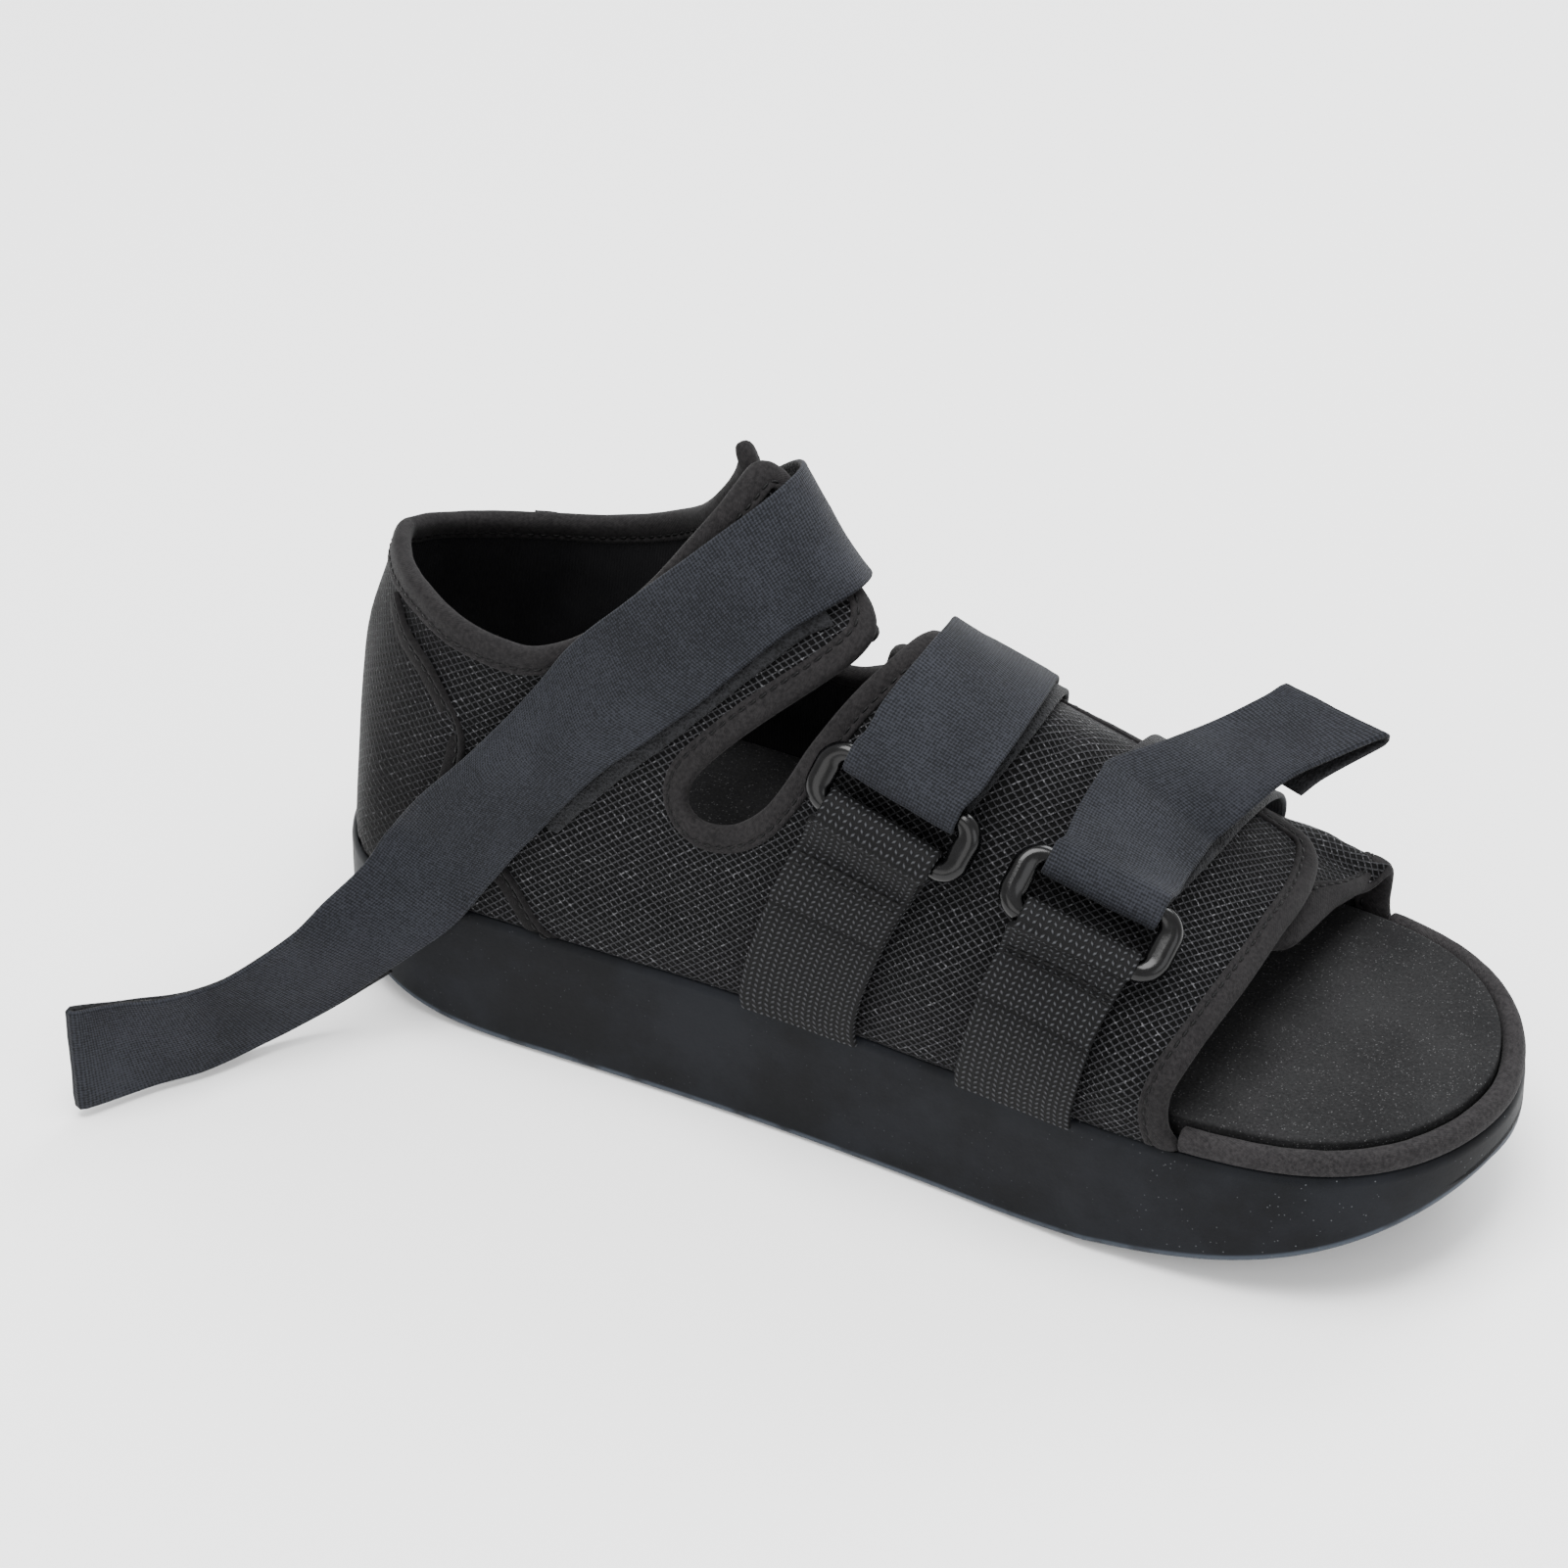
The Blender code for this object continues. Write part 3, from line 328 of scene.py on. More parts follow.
dust = specks * rubber.at.noise(17.0, 2.0).ramp(0.44, 0.56) * (0.25 + 0.75 * rubber.at.part("X").ramp(30.0, 120.0))
over_edge = rubber.cloth.part("Y")
# Painted reflection: a bluish light band 0.3 to 2.9 mm above the tread, where the floor reflects in the bottom edge,
# broken up by noise.
painted_edge_reflection = over_edge.ramp(0.3, 0.9) * (1 - over_edge.ramp(2.0, 2.9)) * rubber.at.noise(9.0, 3.0).ramp(0.26, 0.50)
sole_colour = cloud.ramp(0.3, 0.7).mix((0.0011, 0.0014, 0.0021), (0.0052, 0.0060, 0.0080))
sole_colour = painted_edge_reflection.mix(sole_colour, (0.030, 0.037, 0.048))
sole_colour = dust.mix(sole_colour, (0.060, 0.064, 0.068))
sole.data.materials.append(rubber.paint(sole_colour, 0.44 + 0.12 * cloud + 0.08 * grain, grain, 0.03))
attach(sole, "root")
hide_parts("sole")


# Insole: a sheet of fine closed-cell foam, die cut and glued inside the rim. Light flecks
# show all over it, and its top edge is softly rounded.
GAP = 0.3
SEAT = SOLE_THICK + GAP
INSOLE_THICK, INSOLE_INSET, INSOLE_ROUND = 5.6, 6.0, 1.0
INSOLE_PROFILE = (
    (0.4, 0.0), (0.0, 0.0), (0.0, INSOLE_THICK - 0.9), (0.06, INSOLE_THICK - 0.45), (0.3, INSOLE_THICK - 0.12),
    (INSOLE_ROUND, INSOLE_THICK), (3.0, INSOLE_THICK), (5.0, INSOLE_THICK),
)
rings = []
for inset, height in INSOLE_PROFILE:
    flat_ring = sole_loop(INSOLE_INSET + inset)
    rings.append(np.column_stack((flat_ring, np.full(len(flat_ring), SEAT + height))))
insole = make_mesh("foam_insole", np.concatenate(rings), stacked_faces(len(rings), round_count)
                   + lid(0, round_count) + lid((len(rings) - 1) * round_count, round_count))
foam = Finish("flecked_foam", gloss=0.12)
fleck = 1 - foam.at.cells(0.72).ramp(0.16, 0.32)
fleck = fleck * foam.at.noise(1.6, 2.0).ramp(0.42, 0.62)
pores = foam.at.noise(0.35, 2.0)
foam_tone = (foam.at.noise(22.0) * 0.4 + foam.at.noise(0.7, 3.0, 0.7) * 0.6).ramp(0.35, 0.65)
foam_colour = foam_tone.mix((0.0050, 0.0050, 0.0054), (0.0135, 0.0135, 0.0140))
foam_colour = fleck.mix(foam_colour, (0.046, 0.046, 0.047))
insole.data.materials.append(foam.paint(foam_colour, 0.74 + 0.2 * pores, pores + 0.6 * fleck, 0.06))
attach(insole, "root")
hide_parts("insole")


# Toe rim: a foam core wrapped in the same brushed tape as the upper's edges, glued on the sole
# round the open toe from flap to flap. The tape puckers a little where it is drawn round.
RIM_WIDTH, RIM_HEIGHT, RIM_INSET = 5.0, 4.6, 0.4
RIM_NEAR, RIM_FAR, RIM_PUCKER = 83.9, 96.3, 0.10
RIM_SHAPE = np.array((
    # share across from the outside, share of the height
    (0.06, 0.00), (0.00, 0.14), (-0.02, 0.40), (0.03, 0.64), (0.14, 0.85), (0.30, 0.97), (0.50, 1.00),
    (0.70, 0.98), (0.88, 0.90), (1.00, 0.72), (1.06, 0.42), (1.03, 0.14), (0.94, 0.00), (0.50, 0.03),
))


def toe_line(inset):
    """The sole's outline round the toe from the near flap to the far one, moved in by inset."""
    front = toe_stations(90)
    near = np.concatenate(((RIM_NEAR,), front[front > RIM_NEAR + 0.6]))
    far = np.concatenate(((RIM_FAR,), front[front > RIM_FAR + 0.6]))[:-1][::-1]
    line = np.concatenate((np.stack((near, -sole_half(near)), 1), np.stack((far, sole_half(far)), 1)))
    along = np.gradient(line, axis=0)
    along /= np.linalg.norm(along, axis=1, keepdims=True)
    return line + np.stack((-along[:, 1], along[:, 0]), 1) * inset


def walked(points):
    """Distance along a row of points."""
    return np.concatenate(((0,), np.cumsum(np.linalg.norm(np.diff(points, axis=0), axis=-1))))


def rippled(s, seed, size=9.0):
    """Uneven small waves along a length, between about -1 and 1."""
    return (np.sin(s / size * 2.1 + seed) + np.sin(s / size * 3.7 + 2.3 * seed) * 0.7
            + np.sin(s / size * 6.1 + 4.1 * seed) * 0.5) / 2.0


rim_walk = walked(toe_line(RIM_INSET + RIM_WIDTH / 2))
rim_round = walked(RIM_SHAPE * RIM_WIDTH)
rings, rim_map = [], []
for i, (share, up) in enumerate(RIM_SHAPE):
    pucker = RIM_PUCKER * rippled(rim_walk, 1.0 + 0.2 * i, 5.0) * up
    rings.append(np.column_stack((toe_line(RIM_INSET + RIM_WIDTH * share), SEAT + RIM_HEIGHT * up + pucker)))
    rim_map.append(np.column_stack((rim_walk, np.full(len(rim_walk), rim_round[i]))))
rows, maps = np.stack(rings, 1), np.stack(rim_map, 1)
first, last = rows[0].mean(0), rows[-1].mean(0)
caps = [first + (rows[0] - first) * k + (rows[0] - rows[1]).mean(0) * b for k, b in ((0.3, 0.5), (0.85, 0.3))]
ends = [last + (rows[-1] - last) * k + (rows[-1] - rows[-2]).mean(0) * b for k, b in ((0.85, 0.3), (0.3, 0.5))]
rows = np.concatenate((caps, rows, ends))
maps = np.concatenate((maps[:1], maps[:1], maps, maps[-1:], maps[-1:]))
rim_count = len(RIM_SHAPE)
rim_faces = stacked_faces(len(rows), rim_count) + end_caps(len(rows), rim_count)
rim = make_mesh("rim_bolster", rows.reshape(-1, 3), rim_faces, maps.reshape(-1, 2))


def brushed_tape(name, painted_light_level=1.0):
    """Warm charcoal tape with a brushed face: cloudy nap over a faint slanted knit. Its colour is scaled by the level
    given, as painted light and shade on one tape.
    """
    tape = Finish(name, gloss=0.1, sheen=0.03)
    nap = tape.at.noise(0.9, 4.0, 0.65)
    slant = ((tape.cloth.part("X") * 0.8 + tape.cloth.part("Y") * 1.5) * 7.0).math("SINE")
    cloud = tape.at.noise(11.0, 2.0)
    tone = (nap * 0.8 + cloud * 0.2).ramp(0.30, 0.70)
    worn, raised = ([painted_light_level * c for c in shade] for shade in ((0.0058, 0.0054, 0.0058), (0.0165, 0.0154, 0.0159)))
    colour = tone.mix(worn, raised)
    return tape.paint(colour, 0.84 + 0.12 * nap, nap + 0.12 * slant, 0.14)


# Painted light: the rim's tape is made 1.4 times lighter than the binding's, though it is the same tape.
rim.data.materials.append(brushed_tape("rim_tape", 1.4))
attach(rim, "root")
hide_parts("toe_rim")


# Upper: foam-backed spacer net with a knitted lining, cut flat, sewn up round the heel and
# cemented on the sole, its near flaps lapped over the far ones. Its form, the same as the
# solid's, is a fan of sections about a line over the toe opening.
TOE_HEIGHT, INSTEP_HEIGHT, ANKLE_HEIGHT, HEEL_CUP_HEIGHT = 26.5, 80.5, 131.0, 71.0
MESH_WALL, BOUND_WALL, BINDING_WIDTH = 3.0, 4.2, 6.5
FOOT = SEAT - 1.5
LAP, DIP_START, DIP_END = BOUND_WALL + 2.0, -0.48, -0.30
FORM = np.array((
    # along, toe, instep and ankle share of the ridge, half width, two powers, shift inward
    (0.326, 1.00, 0.00, 0.00, 0.530, 5.0, 1.50, 0.030),
    (0.256, 0.60, 0.31, 0.00, 0.520, 3.6, 1.70, 0.000),
    (0.204, 0.30, 0.56, 0.00, 0.500, 2.8, 1.80, -0.030),
    (0.134, 0.10, 0.78, 0.00, 0.465, 2.4, 1.90, -0.061),
    (0.082, 0.00, 0.92, 0.00, 0.434, 2.2, 2.00, -0.081),
    (0.030, 0.00, 1.00, 0.00, 0.419, 2.1, 2.00, -0.081),
    (-0.005, 0.00, 0.80, 0.15, 0.409, 2.1, 2.00, -0.071),
    (-0.040, 0.00, 0.60, 0.30, 0.404, 2.1, 2.00, -0.061),
    (-0.068, 0.00, 0.35, 0.50, 0.394, 2.1, 2.00, -0.051),
    (-0.099, 0.00, 0.15, 0.71, 0.379, 2.1, 2.00, -0.040),
    (-0.131, 0.00, 0.00, 0.89, 0.364, 2.1, 2.00, -0.020),
    (-0.159, 0.00, 0.00, 1.00, 0.354, 2.1, 2.00, 0.000),
))
HEEL_BACK = np.array(((0.00, 0.007), (0.27, 0.004), (0.55, 0.006), (0.83, 0.040), (1.11, 0.102), (1.46, 0.170)))
SLIM_START, SLIM_ROUND = 0.054, (2.0, 1.4)
FAN_X, FAN_Z = 0.326 * SOLE_LENGTH, SOLE_THICK + 1.374 * ANKLE_HEIGHT
RIDGE_X = FORM[:, 0] * SOLE_LENGTH
RIDGE_Z = SOLE_THICK + FORM[:, 1] * TOE_HEIGHT + FORM[:, 2] * INSTEP_HEIGHT + FORM[:, 3] * ANKLE_HEIGHT
RIDGE_ANGLE = np.arctan2(FAN_X - RIDGE_X, FAN_Z - RIDGE_Z)


def heel_back(z):
    """How far back the heel reaches at a height."""
    return -HALF + curve(HEEL_BACK[:, 0] * HEEL_CUP_HEIGHT, HEEL_BACK[:, 1] * HEEL_WIDTH, z - SOLE_THICK)


def heel_close(x, z):
    """Share of the width left near the back: blunt at the sole, slim over the heel bone."""
    up = np.clip((z - SOLE_THICK) / HEEL_CUP_HEIGHT, 0.0, 1.0)
    start = HEEL_START + SLIM_START * up * SOLE_LENGTH
    k = np.clip((start - x) / (start - heel_back(z)), 0.0, 1.0)
    along = HEEL_ROUND[0] + (SLIM_ROUND[0] - HEEL_ROUND[0]) * up
    around = HEEL_ROUND[1] + (SLIM_ROUND[1] - HEEL_ROUND[1]) * up
    return (1 - k ** along) ** (1 / around)


def reach(angle):
    """Distances from the fan's line to the ridge and to the sole or the back of the heel."""
    ridge = np.hypot(FAN_X - curve(RIDGE_ANGLE, RIDGE_X, angle), FAN_Z - curve(RIDGE_ANGLE, RIDGE_Z, angle))
    far = (FAN_Z - FOOT) / np.cos(angle)
    low, high = ridge.copy(), far.copy()
    for _ in range(32):
        middle = (low + high) / 2
        within = FAN_X - middle * np.sin(angle) > heel_back(FAN_Z - middle * np.cos(angle))
        low, high = np.where(within, middle, low), np.where(within, high, middle)
    return ridge, np.where(FAN_X - far * np.sin(angle) >= heel_back(FOOT), far, low)


def form(deg, turn):
    """Outer face of the upper. turn is 1 at the near side of the sole, 0 on the ridge and
    -1 at the far side; deg is the angle of the section's plane."""
    deg, turn = np.broadcast_arrays(np.asarray(deg, float), np.asarray(turn, float))
    angle = np.radians(deg)
    ridge, end = reach(angle)
    t = 0.5 * (1 - np.cos(pi * np.abs(turn)))
    r = ridge + (end - ridge) * t
    x, z = FAN_X - r * np.sin(angle), FAN_Z - r * np.cos(angle)
    crown, shoulder = curve(RIDGE_ANGLE, FORM[:, 5], angle), curve(RIDGE_ANGLE, FORM[:, 6], angle)
    top = curve(RIDGE_ANGLE, FORM[:, 4] * BALL_WIDTH, angle)
    side = top + (side_half(FAN_X - end * np.sin(angle)) - top) * t ** 2.5
    half = side * (1 - np.clip(1 - t, 0, 1) ** crown) ** (1 / shoulder) * heel_close(x, z)
    y = curve(RIDGE_ANGLE, FORM[:, 7] * BALL_WIDTH, angle) * (1 - t) + np.where(turn >= 0, -half, half)
    return np.stack((x, y, z), -1)


def unit(v):
    """The vectors made 1 long."""
    return v / np.linalg.norm(v, axis=-1, keepdims=True)


def outward(deg, turn):
    """Unit normal of the form, pointing out."""
    turn = np.clip(turn, -0.97, 0.97)
    along = form(deg + 0.2, turn) - form(deg - 0.2, turn)
    return unit(np.cross(along, form(deg, turn + 0.02) - form(deg, turn - 0.02)))


NEAR_EDGE = (
    (3.3, 0.84), (4.2, 0.70), (4.3, 0.53), (3.3, 0.34), (2.3, 0.17), (2.1, 0.03), (2.2, -0.09),
    (3.5, -0.19), (6.1, -0.245), (9.5, -0.26), (16.0, -0.27), (25.0, -0.27), (34.0, -0.27),
    (40.0, -0.25), (43.0, -0.18), (44.8, -0.05), (45.3, 0.05), (45.3, 0.144), (44.8, 0.22),
    (43.9, 0.30), (42.8, 0.37), (42.2, 0.43), (42.6, 0.475), (43.9, 0.492), (45.4, 0.475),
    (46.5, 0.435), (47.1, 0.37), (47.3, 0.29), (47.2, 0.20), (47.2, 0.11), (47.8, 0.03),
    (49.3, -0.03), (52.0, -0.06), (56.0, -0.07), (60.5, -0.06), (64.0, -0.02), (65.6, 0.05),
    (64.9, 0.13), (62.6, 0.24), (60.2, 0.33), (58.6, 0.41), (58.7, 0.48), (60.2, 0.54),
    (61.9, 0.61), (63.3, 0.68), (64.2, 0.76), (64.7, 0.84), (64.9, 0.92),
)
FAR_EDGE = (
    (-0.4, -0.86), (0.0, -0.70), (0.0, -0.50), (0.1, -0.33), (0.2, -0.18), (0.7, -0.03),
    (2.4, 0.05), (6.0, 0.08), (14.0, 0.09), (24.0, 0.09), (34.0, 0.09), (40.0, 0.06),
    (43.0, -0.02), (44.7, -0.12), (44.9, -0.22), (43.9, -0.30), (42.8, -0.37), (42.2, -0.43),
    (42.6, -0.475), (43.9, -0.492), (45.4, -0.475), (46.5, -0.435), (47.1, -0.37),
    (47.3, -0.29), (47.2, -0.20), (47.4, -0.10), (48.6, -0.01), (52.0, 0.05), (57.0, 0.06),
    (62.0, 0.05), (65.3, 0.01), (66.5, -0.05), (65.9, -0.12), (63.6, -0.21), (60.8, -0.31),
    (58.9, -0.40), (58.4, -0.48), (58.9, -0.56), (60.0, -0.64), (61.4, -0.72), (62.8, -0.80),
    (64.0, -0.88), (64.6, -0.95),
)
BACK_TOP = (64.8, 1.0)
SOLE_START_NEAR, SOLE_START_FAR = 3.0, -0.5
FLAT_DEG, FLAT_TURN = 3.2, 110.0
SLIT = 0.05


def flat(rows, side):
    """Section angles and turns laid out flat, the heel in the middle."""
    rows = np.asarray(rows, float)
    across = FLAT_TURN * (1 - rows[:, 1]) if side == "near" else -FLAT_TURN * (1 + rows[:, 1])
    return np.stack((across, FLAT_DEG * rows[:, 0]), 1)


def unflat(p):
    """Section angle and turn of points of the flat pattern."""
    return p[..., 1] / FLAT_DEG, np.where(p[..., 0] >= 0, 1 - p[..., 0] / FLAT_TURN, -1 - p[..., 0] / FLAT_TURN)


def dip(p):
    """How far the far half drops under the near one where they lap."""
    turn = unflat(p)[1]
    t = np.clip((turn - DIP_START) / (DIP_END - DIP_START), 0, 1)
    return np.where(p[..., 0] < 0, LAP * t * t * (3 - 2 * t), 0.0)


def place(p, off):
    """Point of the upper at a point of the flat pattern, with off added outwards."""
    deg, turn = unflat(p)
    return form(deg, turn) + outward(deg, turn) * (np.asarray(off) - dip(p))[..., None]


SHEET_DEGS, SHEET_TURNS = np.arange(-5.0, 72.0, 0.5), np.linspace(1.0, -0.6, 321)
sheet = {}
for side in (1, -1):
    table = form(*np.meshgrid(SHEET_DEGS, SHEET_TURNS * side, indexing="ij"))
    edges = np.linalg.norm(np.diff(table, axis=1), axis=2)
    walks = np.concatenate((np.zeros((len(SHEET_DEGS), 1)), np.cumsum(edges, 1)), 1)
    sheet[side] = walks - walks[:, np.argmin(np.abs(SHEET_TURNS)), None]


def between_rows(deg):
    """The sheet's row below an angle, and the share of the way to the next one."""
    at = (deg - SHEET_DEGS[0]) / (SHEET_DEGS[1] - SHEET_DEGS[0])
    row = np.clip(np.floor(at).astype(int), 0, len(SHEET_DEGS) - 2)
    return row, at - row


def laid(p, side):
    """Millimetres past the ridge along the section, and its angle, for points of the pattern."""
    deg, turn = unflat(p)
    at = (1 - side * turn) / (SHEET_TURNS[0] - SHEET_TURNS[1])
    spot = np.clip(np.floor(at).astype(int), 0, len(SHEET_TURNS) - 2)
    (row, part), share, table = between_rows(deg), at - spot, sheet[side]
    low = table[row, spot] * (1 - share) + table[row, spot + 1] * share
    high = table[row + 1, spot] * (1 - share) + table[row + 1, spot + 1] * share
    return np.stack((low * (1 - part) + high * part, deg), -1)


def picked(spots, side):
    """Points of the pattern so far past the ridge on sections of the given angles."""
    rise, deg = spots[..., 0].ravel(), spots[..., 1].ravel()
    row, part = between_rows(deg)
    walks = sheet[side][row] * (1 - part)[:, None] + sheet[side][row + 1] * part[:, None]
    turns = np.array([np.interp(r, walk, SHEET_TURNS) for r, walk in zip(rise, walks)])
    return np.stack((side * np.maximum(FLAT_TURN * (1 - turns), SLIT), FLAT_DEG * deg), -1).reshape(spots.shape)


def drawn_in(line, side):
    """The line's own spots, and the step that goes 1 mm to the left of it along the cloth."""
    spots, small = laid(line, side), 0.1
    along = np.gradient(spots, axis=0)
    left = np.stack((-along[:, 1], along[:, 0]), 1)
    base = on_form(picked(spots, side))
    slope = np.stack([(on_form(picked(spots + move, side)) - base) / small
                      for move in ((small, 0), (0, small))], -1)
    ahead = unit(np.einsum("nij,nj->ni", slope, along))
    inward = np.einsum("nij,nj->ni", slope, left)
    inward = unit(inward - ahead * (inward * ahead).sum(1, keepdims=True))
    return spots, np.einsum("nij,nj->ni", np.linalg.pinv(slope), inward)


def spaced(line, step, rows_at):
    """Points step apart along a line, measured where rows_at puts it."""
    walk = walked(rows_at(line))
    marks = np.linspace(0, walk[-1], max(2, int(round(walk[-1] / step)) + 1))
    return np.stack([np.interp(marks, walk, line[:, k]) for k in range(line.shape[1])], 1)


def flowing(points, parts=16):
    """Dense smooth line through a few points."""
    points = np.asarray(points, float)
    a = points[np.maximum(np.arange(len(points) - 1) - 1, 0)]
    b, c = points[:-1], points[1:]
    d = points[np.minimum(np.arange(len(points) - 1) + 2, len(points) - 1)]
    t = (np.arange(parts) / parts)[None, :, None]
    a, b, c, d = (v[:, None, :] for v in (a, b, c, d))
    dense = 0.5 * (2 * b + (c - a) * t + (2 * a - 5 * b + 4 * c - d) * t ** 2 + (3 * b - a - 3 * c + d) * t ** 3)
    return np.concatenate((dense.reshape(-1, points.shape[1]), points[-1:]))


def on_form(p):
    """Points of the form at points of the pattern."""
    return place(p, np.zeros(len(p)))


near_start, far_start = flat([(SOLE_START_NEAR, 1.0)], "near"), flat([(SOLE_START_FAR, -1.0)], "far")
top_point = flat([BACK_TOP], "near")
near_free = flowing(np.concatenate((near_start, flat(NEAR_EDGE, "near"), top_point)))
far_free = flowing(np.concatenate((far_start, flat(FAR_EDGE, "far"), top_point)))
EDGE_STEP = 1.5
near_free, far_free = spaced(near_free, EDGE_STEP, on_form), spaced(far_free, EDGE_STEP, on_form)


def meets_sole(start):
    """Angles at which the sections meet the sole, from the toe opening to the heel's back."""
    first = FAN_X - (FAN_Z - FOOT) * np.tan(radians(start)) - 1.0
    xs = outline_stations(40, 80)
    xs = xs[(xs > heel_back(FOOT) + 0.05) & (xs < first)][::-1]
    return np.concatenate(((start,), np.degrees(np.arctan2(FAN_X - xs, FAN_Z - FOOT))))


near_sole = flat([(a, 1.0) for a in meets_sole(SOLE_START_NEAR)], "near") + (SLIT, 0)
far_sole = flat([(a, -1.0) for a in meets_sole(SOLE_START_FAR)], "far") - (SLIT, 0)
heel_corner = flat([(np.degrees(np.arctan2(FAN_X - heel_back(FOOT), FAN_Z - FOOT)), 1.0)], "near")
near_free[0], far_free[0], far_free[-1, 0] = near_sole[0], far_sole[0], -SLIT


SOFTENING = 8


def softened(spots, step, reach_in):
    """The inward steps, evened out where they would cross at a rounded corner."""
    reached = spots + step * reach_in
    for _ in range(SOFTENING):
        reached[1:-1] = (reached[:-2] + 2 * reached[1:-1] + reached[2:]) / 4
    return (reached - spots) / reach_in


near_spots, near_in = drawn_in(near_free, 1)
far_spots, far_in = drawn_in(far_free, -1)
near_in, far_in = (softened(*pair, BINDING_WIDTH) for pair in ((near_spots, near_in), (far_spots, far_in)))
CLOTH_BACK = 1.3
near_cut, far_cut = (picked(spots + step * CLOTH_BACK, side)
                     for spots, step, side in ((near_spots, near_in, 1), (far_spots, far_in, -1)))
near_cut[0], far_cut[0] = near_sole[1], far_sole[1]
border = np.concatenate((near_cut, far_cut[-2:0:-1], far_sole[1:], heel_corner, near_sole[:1:-1]))


def inside(p, loop):
    """Which points of the pattern lie inside a closed line."""
    hit = np.zeros(len(p), bool)
    for a, b in zip(loop, np.roll(loop, -1, 0)):
        crossing = (a[1] > p[:, 1]) != (b[1] > p[:, 1])
        if crossing.any():
            hit ^= crossing & (p[:, 0] < a[0] + (b[0] - a[0]) * (p[:, 1] - a[1]) / (b[1] - a[1]))
    return hit


def too_near(p, others, space):
    """Which points lie closer than space to one of the others."""
    near = np.zeros(len(p), bool)
    for start in range(0, len(p), 400):
        gap = np.linalg.norm(p[start:start + 400, None] - others[None], axis=2)
        near[start:start + 400] = gap.min(1) < space
    return near


CLOTH_STEP, ROW_DEGS, ROW_SPOTS, ROW_END = 2.6, np.arange(-1.5, 68.0, 0.55), 240, -0.45
EDGE_SPACE, CELL_SIDE, CLOSEST_SQUARED = 1.5, 2.0, 3.6
candidates = []
for row, deg in enumerate(ROW_DEGS):
    for side in (1, -1):
        turns = np.linspace(side, ROW_END * side, ROW_SPOTS)
        walk = walked(form(np.full(ROW_SPOTS, deg), turns))
        marks = np.arange(CLOTH_STEP * (0.5 if row % 2 else 1.0), walk[-1], CLOTH_STEP)
        found = np.interp(marks, walk, turns)
        across = FLAT_TURN * (1 - found) if side == 1 else -FLAT_TURN * (1 + found)
        candidates.append(np.stack((across, np.full(len(found), FLAT_DEG * deg)), 1))
candidates = np.concatenate(candidates)
candidates = candidates[inside(candidates, border)]
candidates = candidates[~too_near(on_form(candidates), on_form(border), EDGE_SPACE)]
at = on_form(candidates)
kept, taken = [], {}
for i, p in enumerate(at):
    side = candidates[i, 0] >= 0
    cell = tuple(np.floor(p / CELL_SIDE).astype(int))
    around = [taken.get((side, cell[0] + a, cell[1] + b, cell[2] + c), ())
              for a in (-1, 0, 1) for b in (-1, 0, 1) for c in (-1, 0, 1)]
    if all(((p - at[j]) ** 2).sum() > CLOSEST_SQUARED for group in around for j in group):
        kept.append(i)
        taken.setdefault((side, *cell), []).append(i)
pattern = np.concatenate((border, candidates[kept]))
found = delaunay_2d_cdt([Vector(p) for p in pattern], [], [list(range(len(border)))], 1, 1e-5)
pattern, triangles = np.array([tuple(p) for p in found[0]]), [tuple(t) for t in found[2]]

CREASES = (
    # section angle and turn at both ends, height (below 0: a groove), half width
    (61.8, 0.60, 57.2, 0.46, 1.0, 5.5), (60.8, 0.66, 57.6, 0.53, -0.8, 2.4), (57.2, 0.56, 53.6, 0.66, 0.7, 5.0),
    (62.4, 0.84, 58.0, 0.93, 0.8, 6.0), (56.0, 0.72, 51.0, 0.82, 0.8, 7.0), (47.6, 0.66, 45.6, 0.58, 0.8, 4.5),
    (46.2, 0.80, 39.5, 0.74, 0.9, 9.0), (43.5, 0.62, 37.6, 0.70, -0.7, 3.0), (40.2, 0.93, 36.4, 0.60, 0.7, 5.0),
    (25.4, 0.96, 27.6, 0.50, -0.6, 2.2), (22.6, 0.90, 25.2, 0.36, 1.0, 6.0), (23.6, 0.30, 26.4, 0.16, -0.7, 2.0),
    (9.7, 0.92, 10.0, 0.40, -0.5, 2.2), (7.2, 0.84, 7.2, 0.34, 0.9, 5.0), (29.6, 0.22, 27.6, -0.16, 1.0, 4.0),
    (27.2, 0.12, 26.0, -0.22, -0.8, 2.0), (25.2, 0.10, 24.6, -0.22, 0.9, 3.4), (12.0, 0.16, 8.0, -0.10, 0.8, 4.5),
    (54.0, 0.10, 51.5, 0.30, -0.7, 2.4), (61.8, -0.62, 57.4, -0.50, 0.9, 5.5), (57.0, -0.62, 51.0, -0.78, 0.8, 7.0),
    (46.0, -0.82, 39.0, -0.72, 0.9, 9.0), (43.0, -0.60, 37.4, -0.72, -0.7, 3.0), (25.2, -0.94, 26.6, -0.46, -0.6, 2.4),
    (22.8, -0.88, 25.0, -0.36, 1.0, 5.5), (8.6, -0.90, 9.2, -0.40, -0.5, 2.4), (5.4, -0.84, 5.6, -0.34, 0.9, 5.0),
)
CREASE_SPOTS, CREASE_BOW = np.linspace(0, 1, 25), 0.8
DEEPEST, HIGHEST, EDGE_CALM, EDGE_BLEND = -1.0, 1.25, 4.0, 6.0


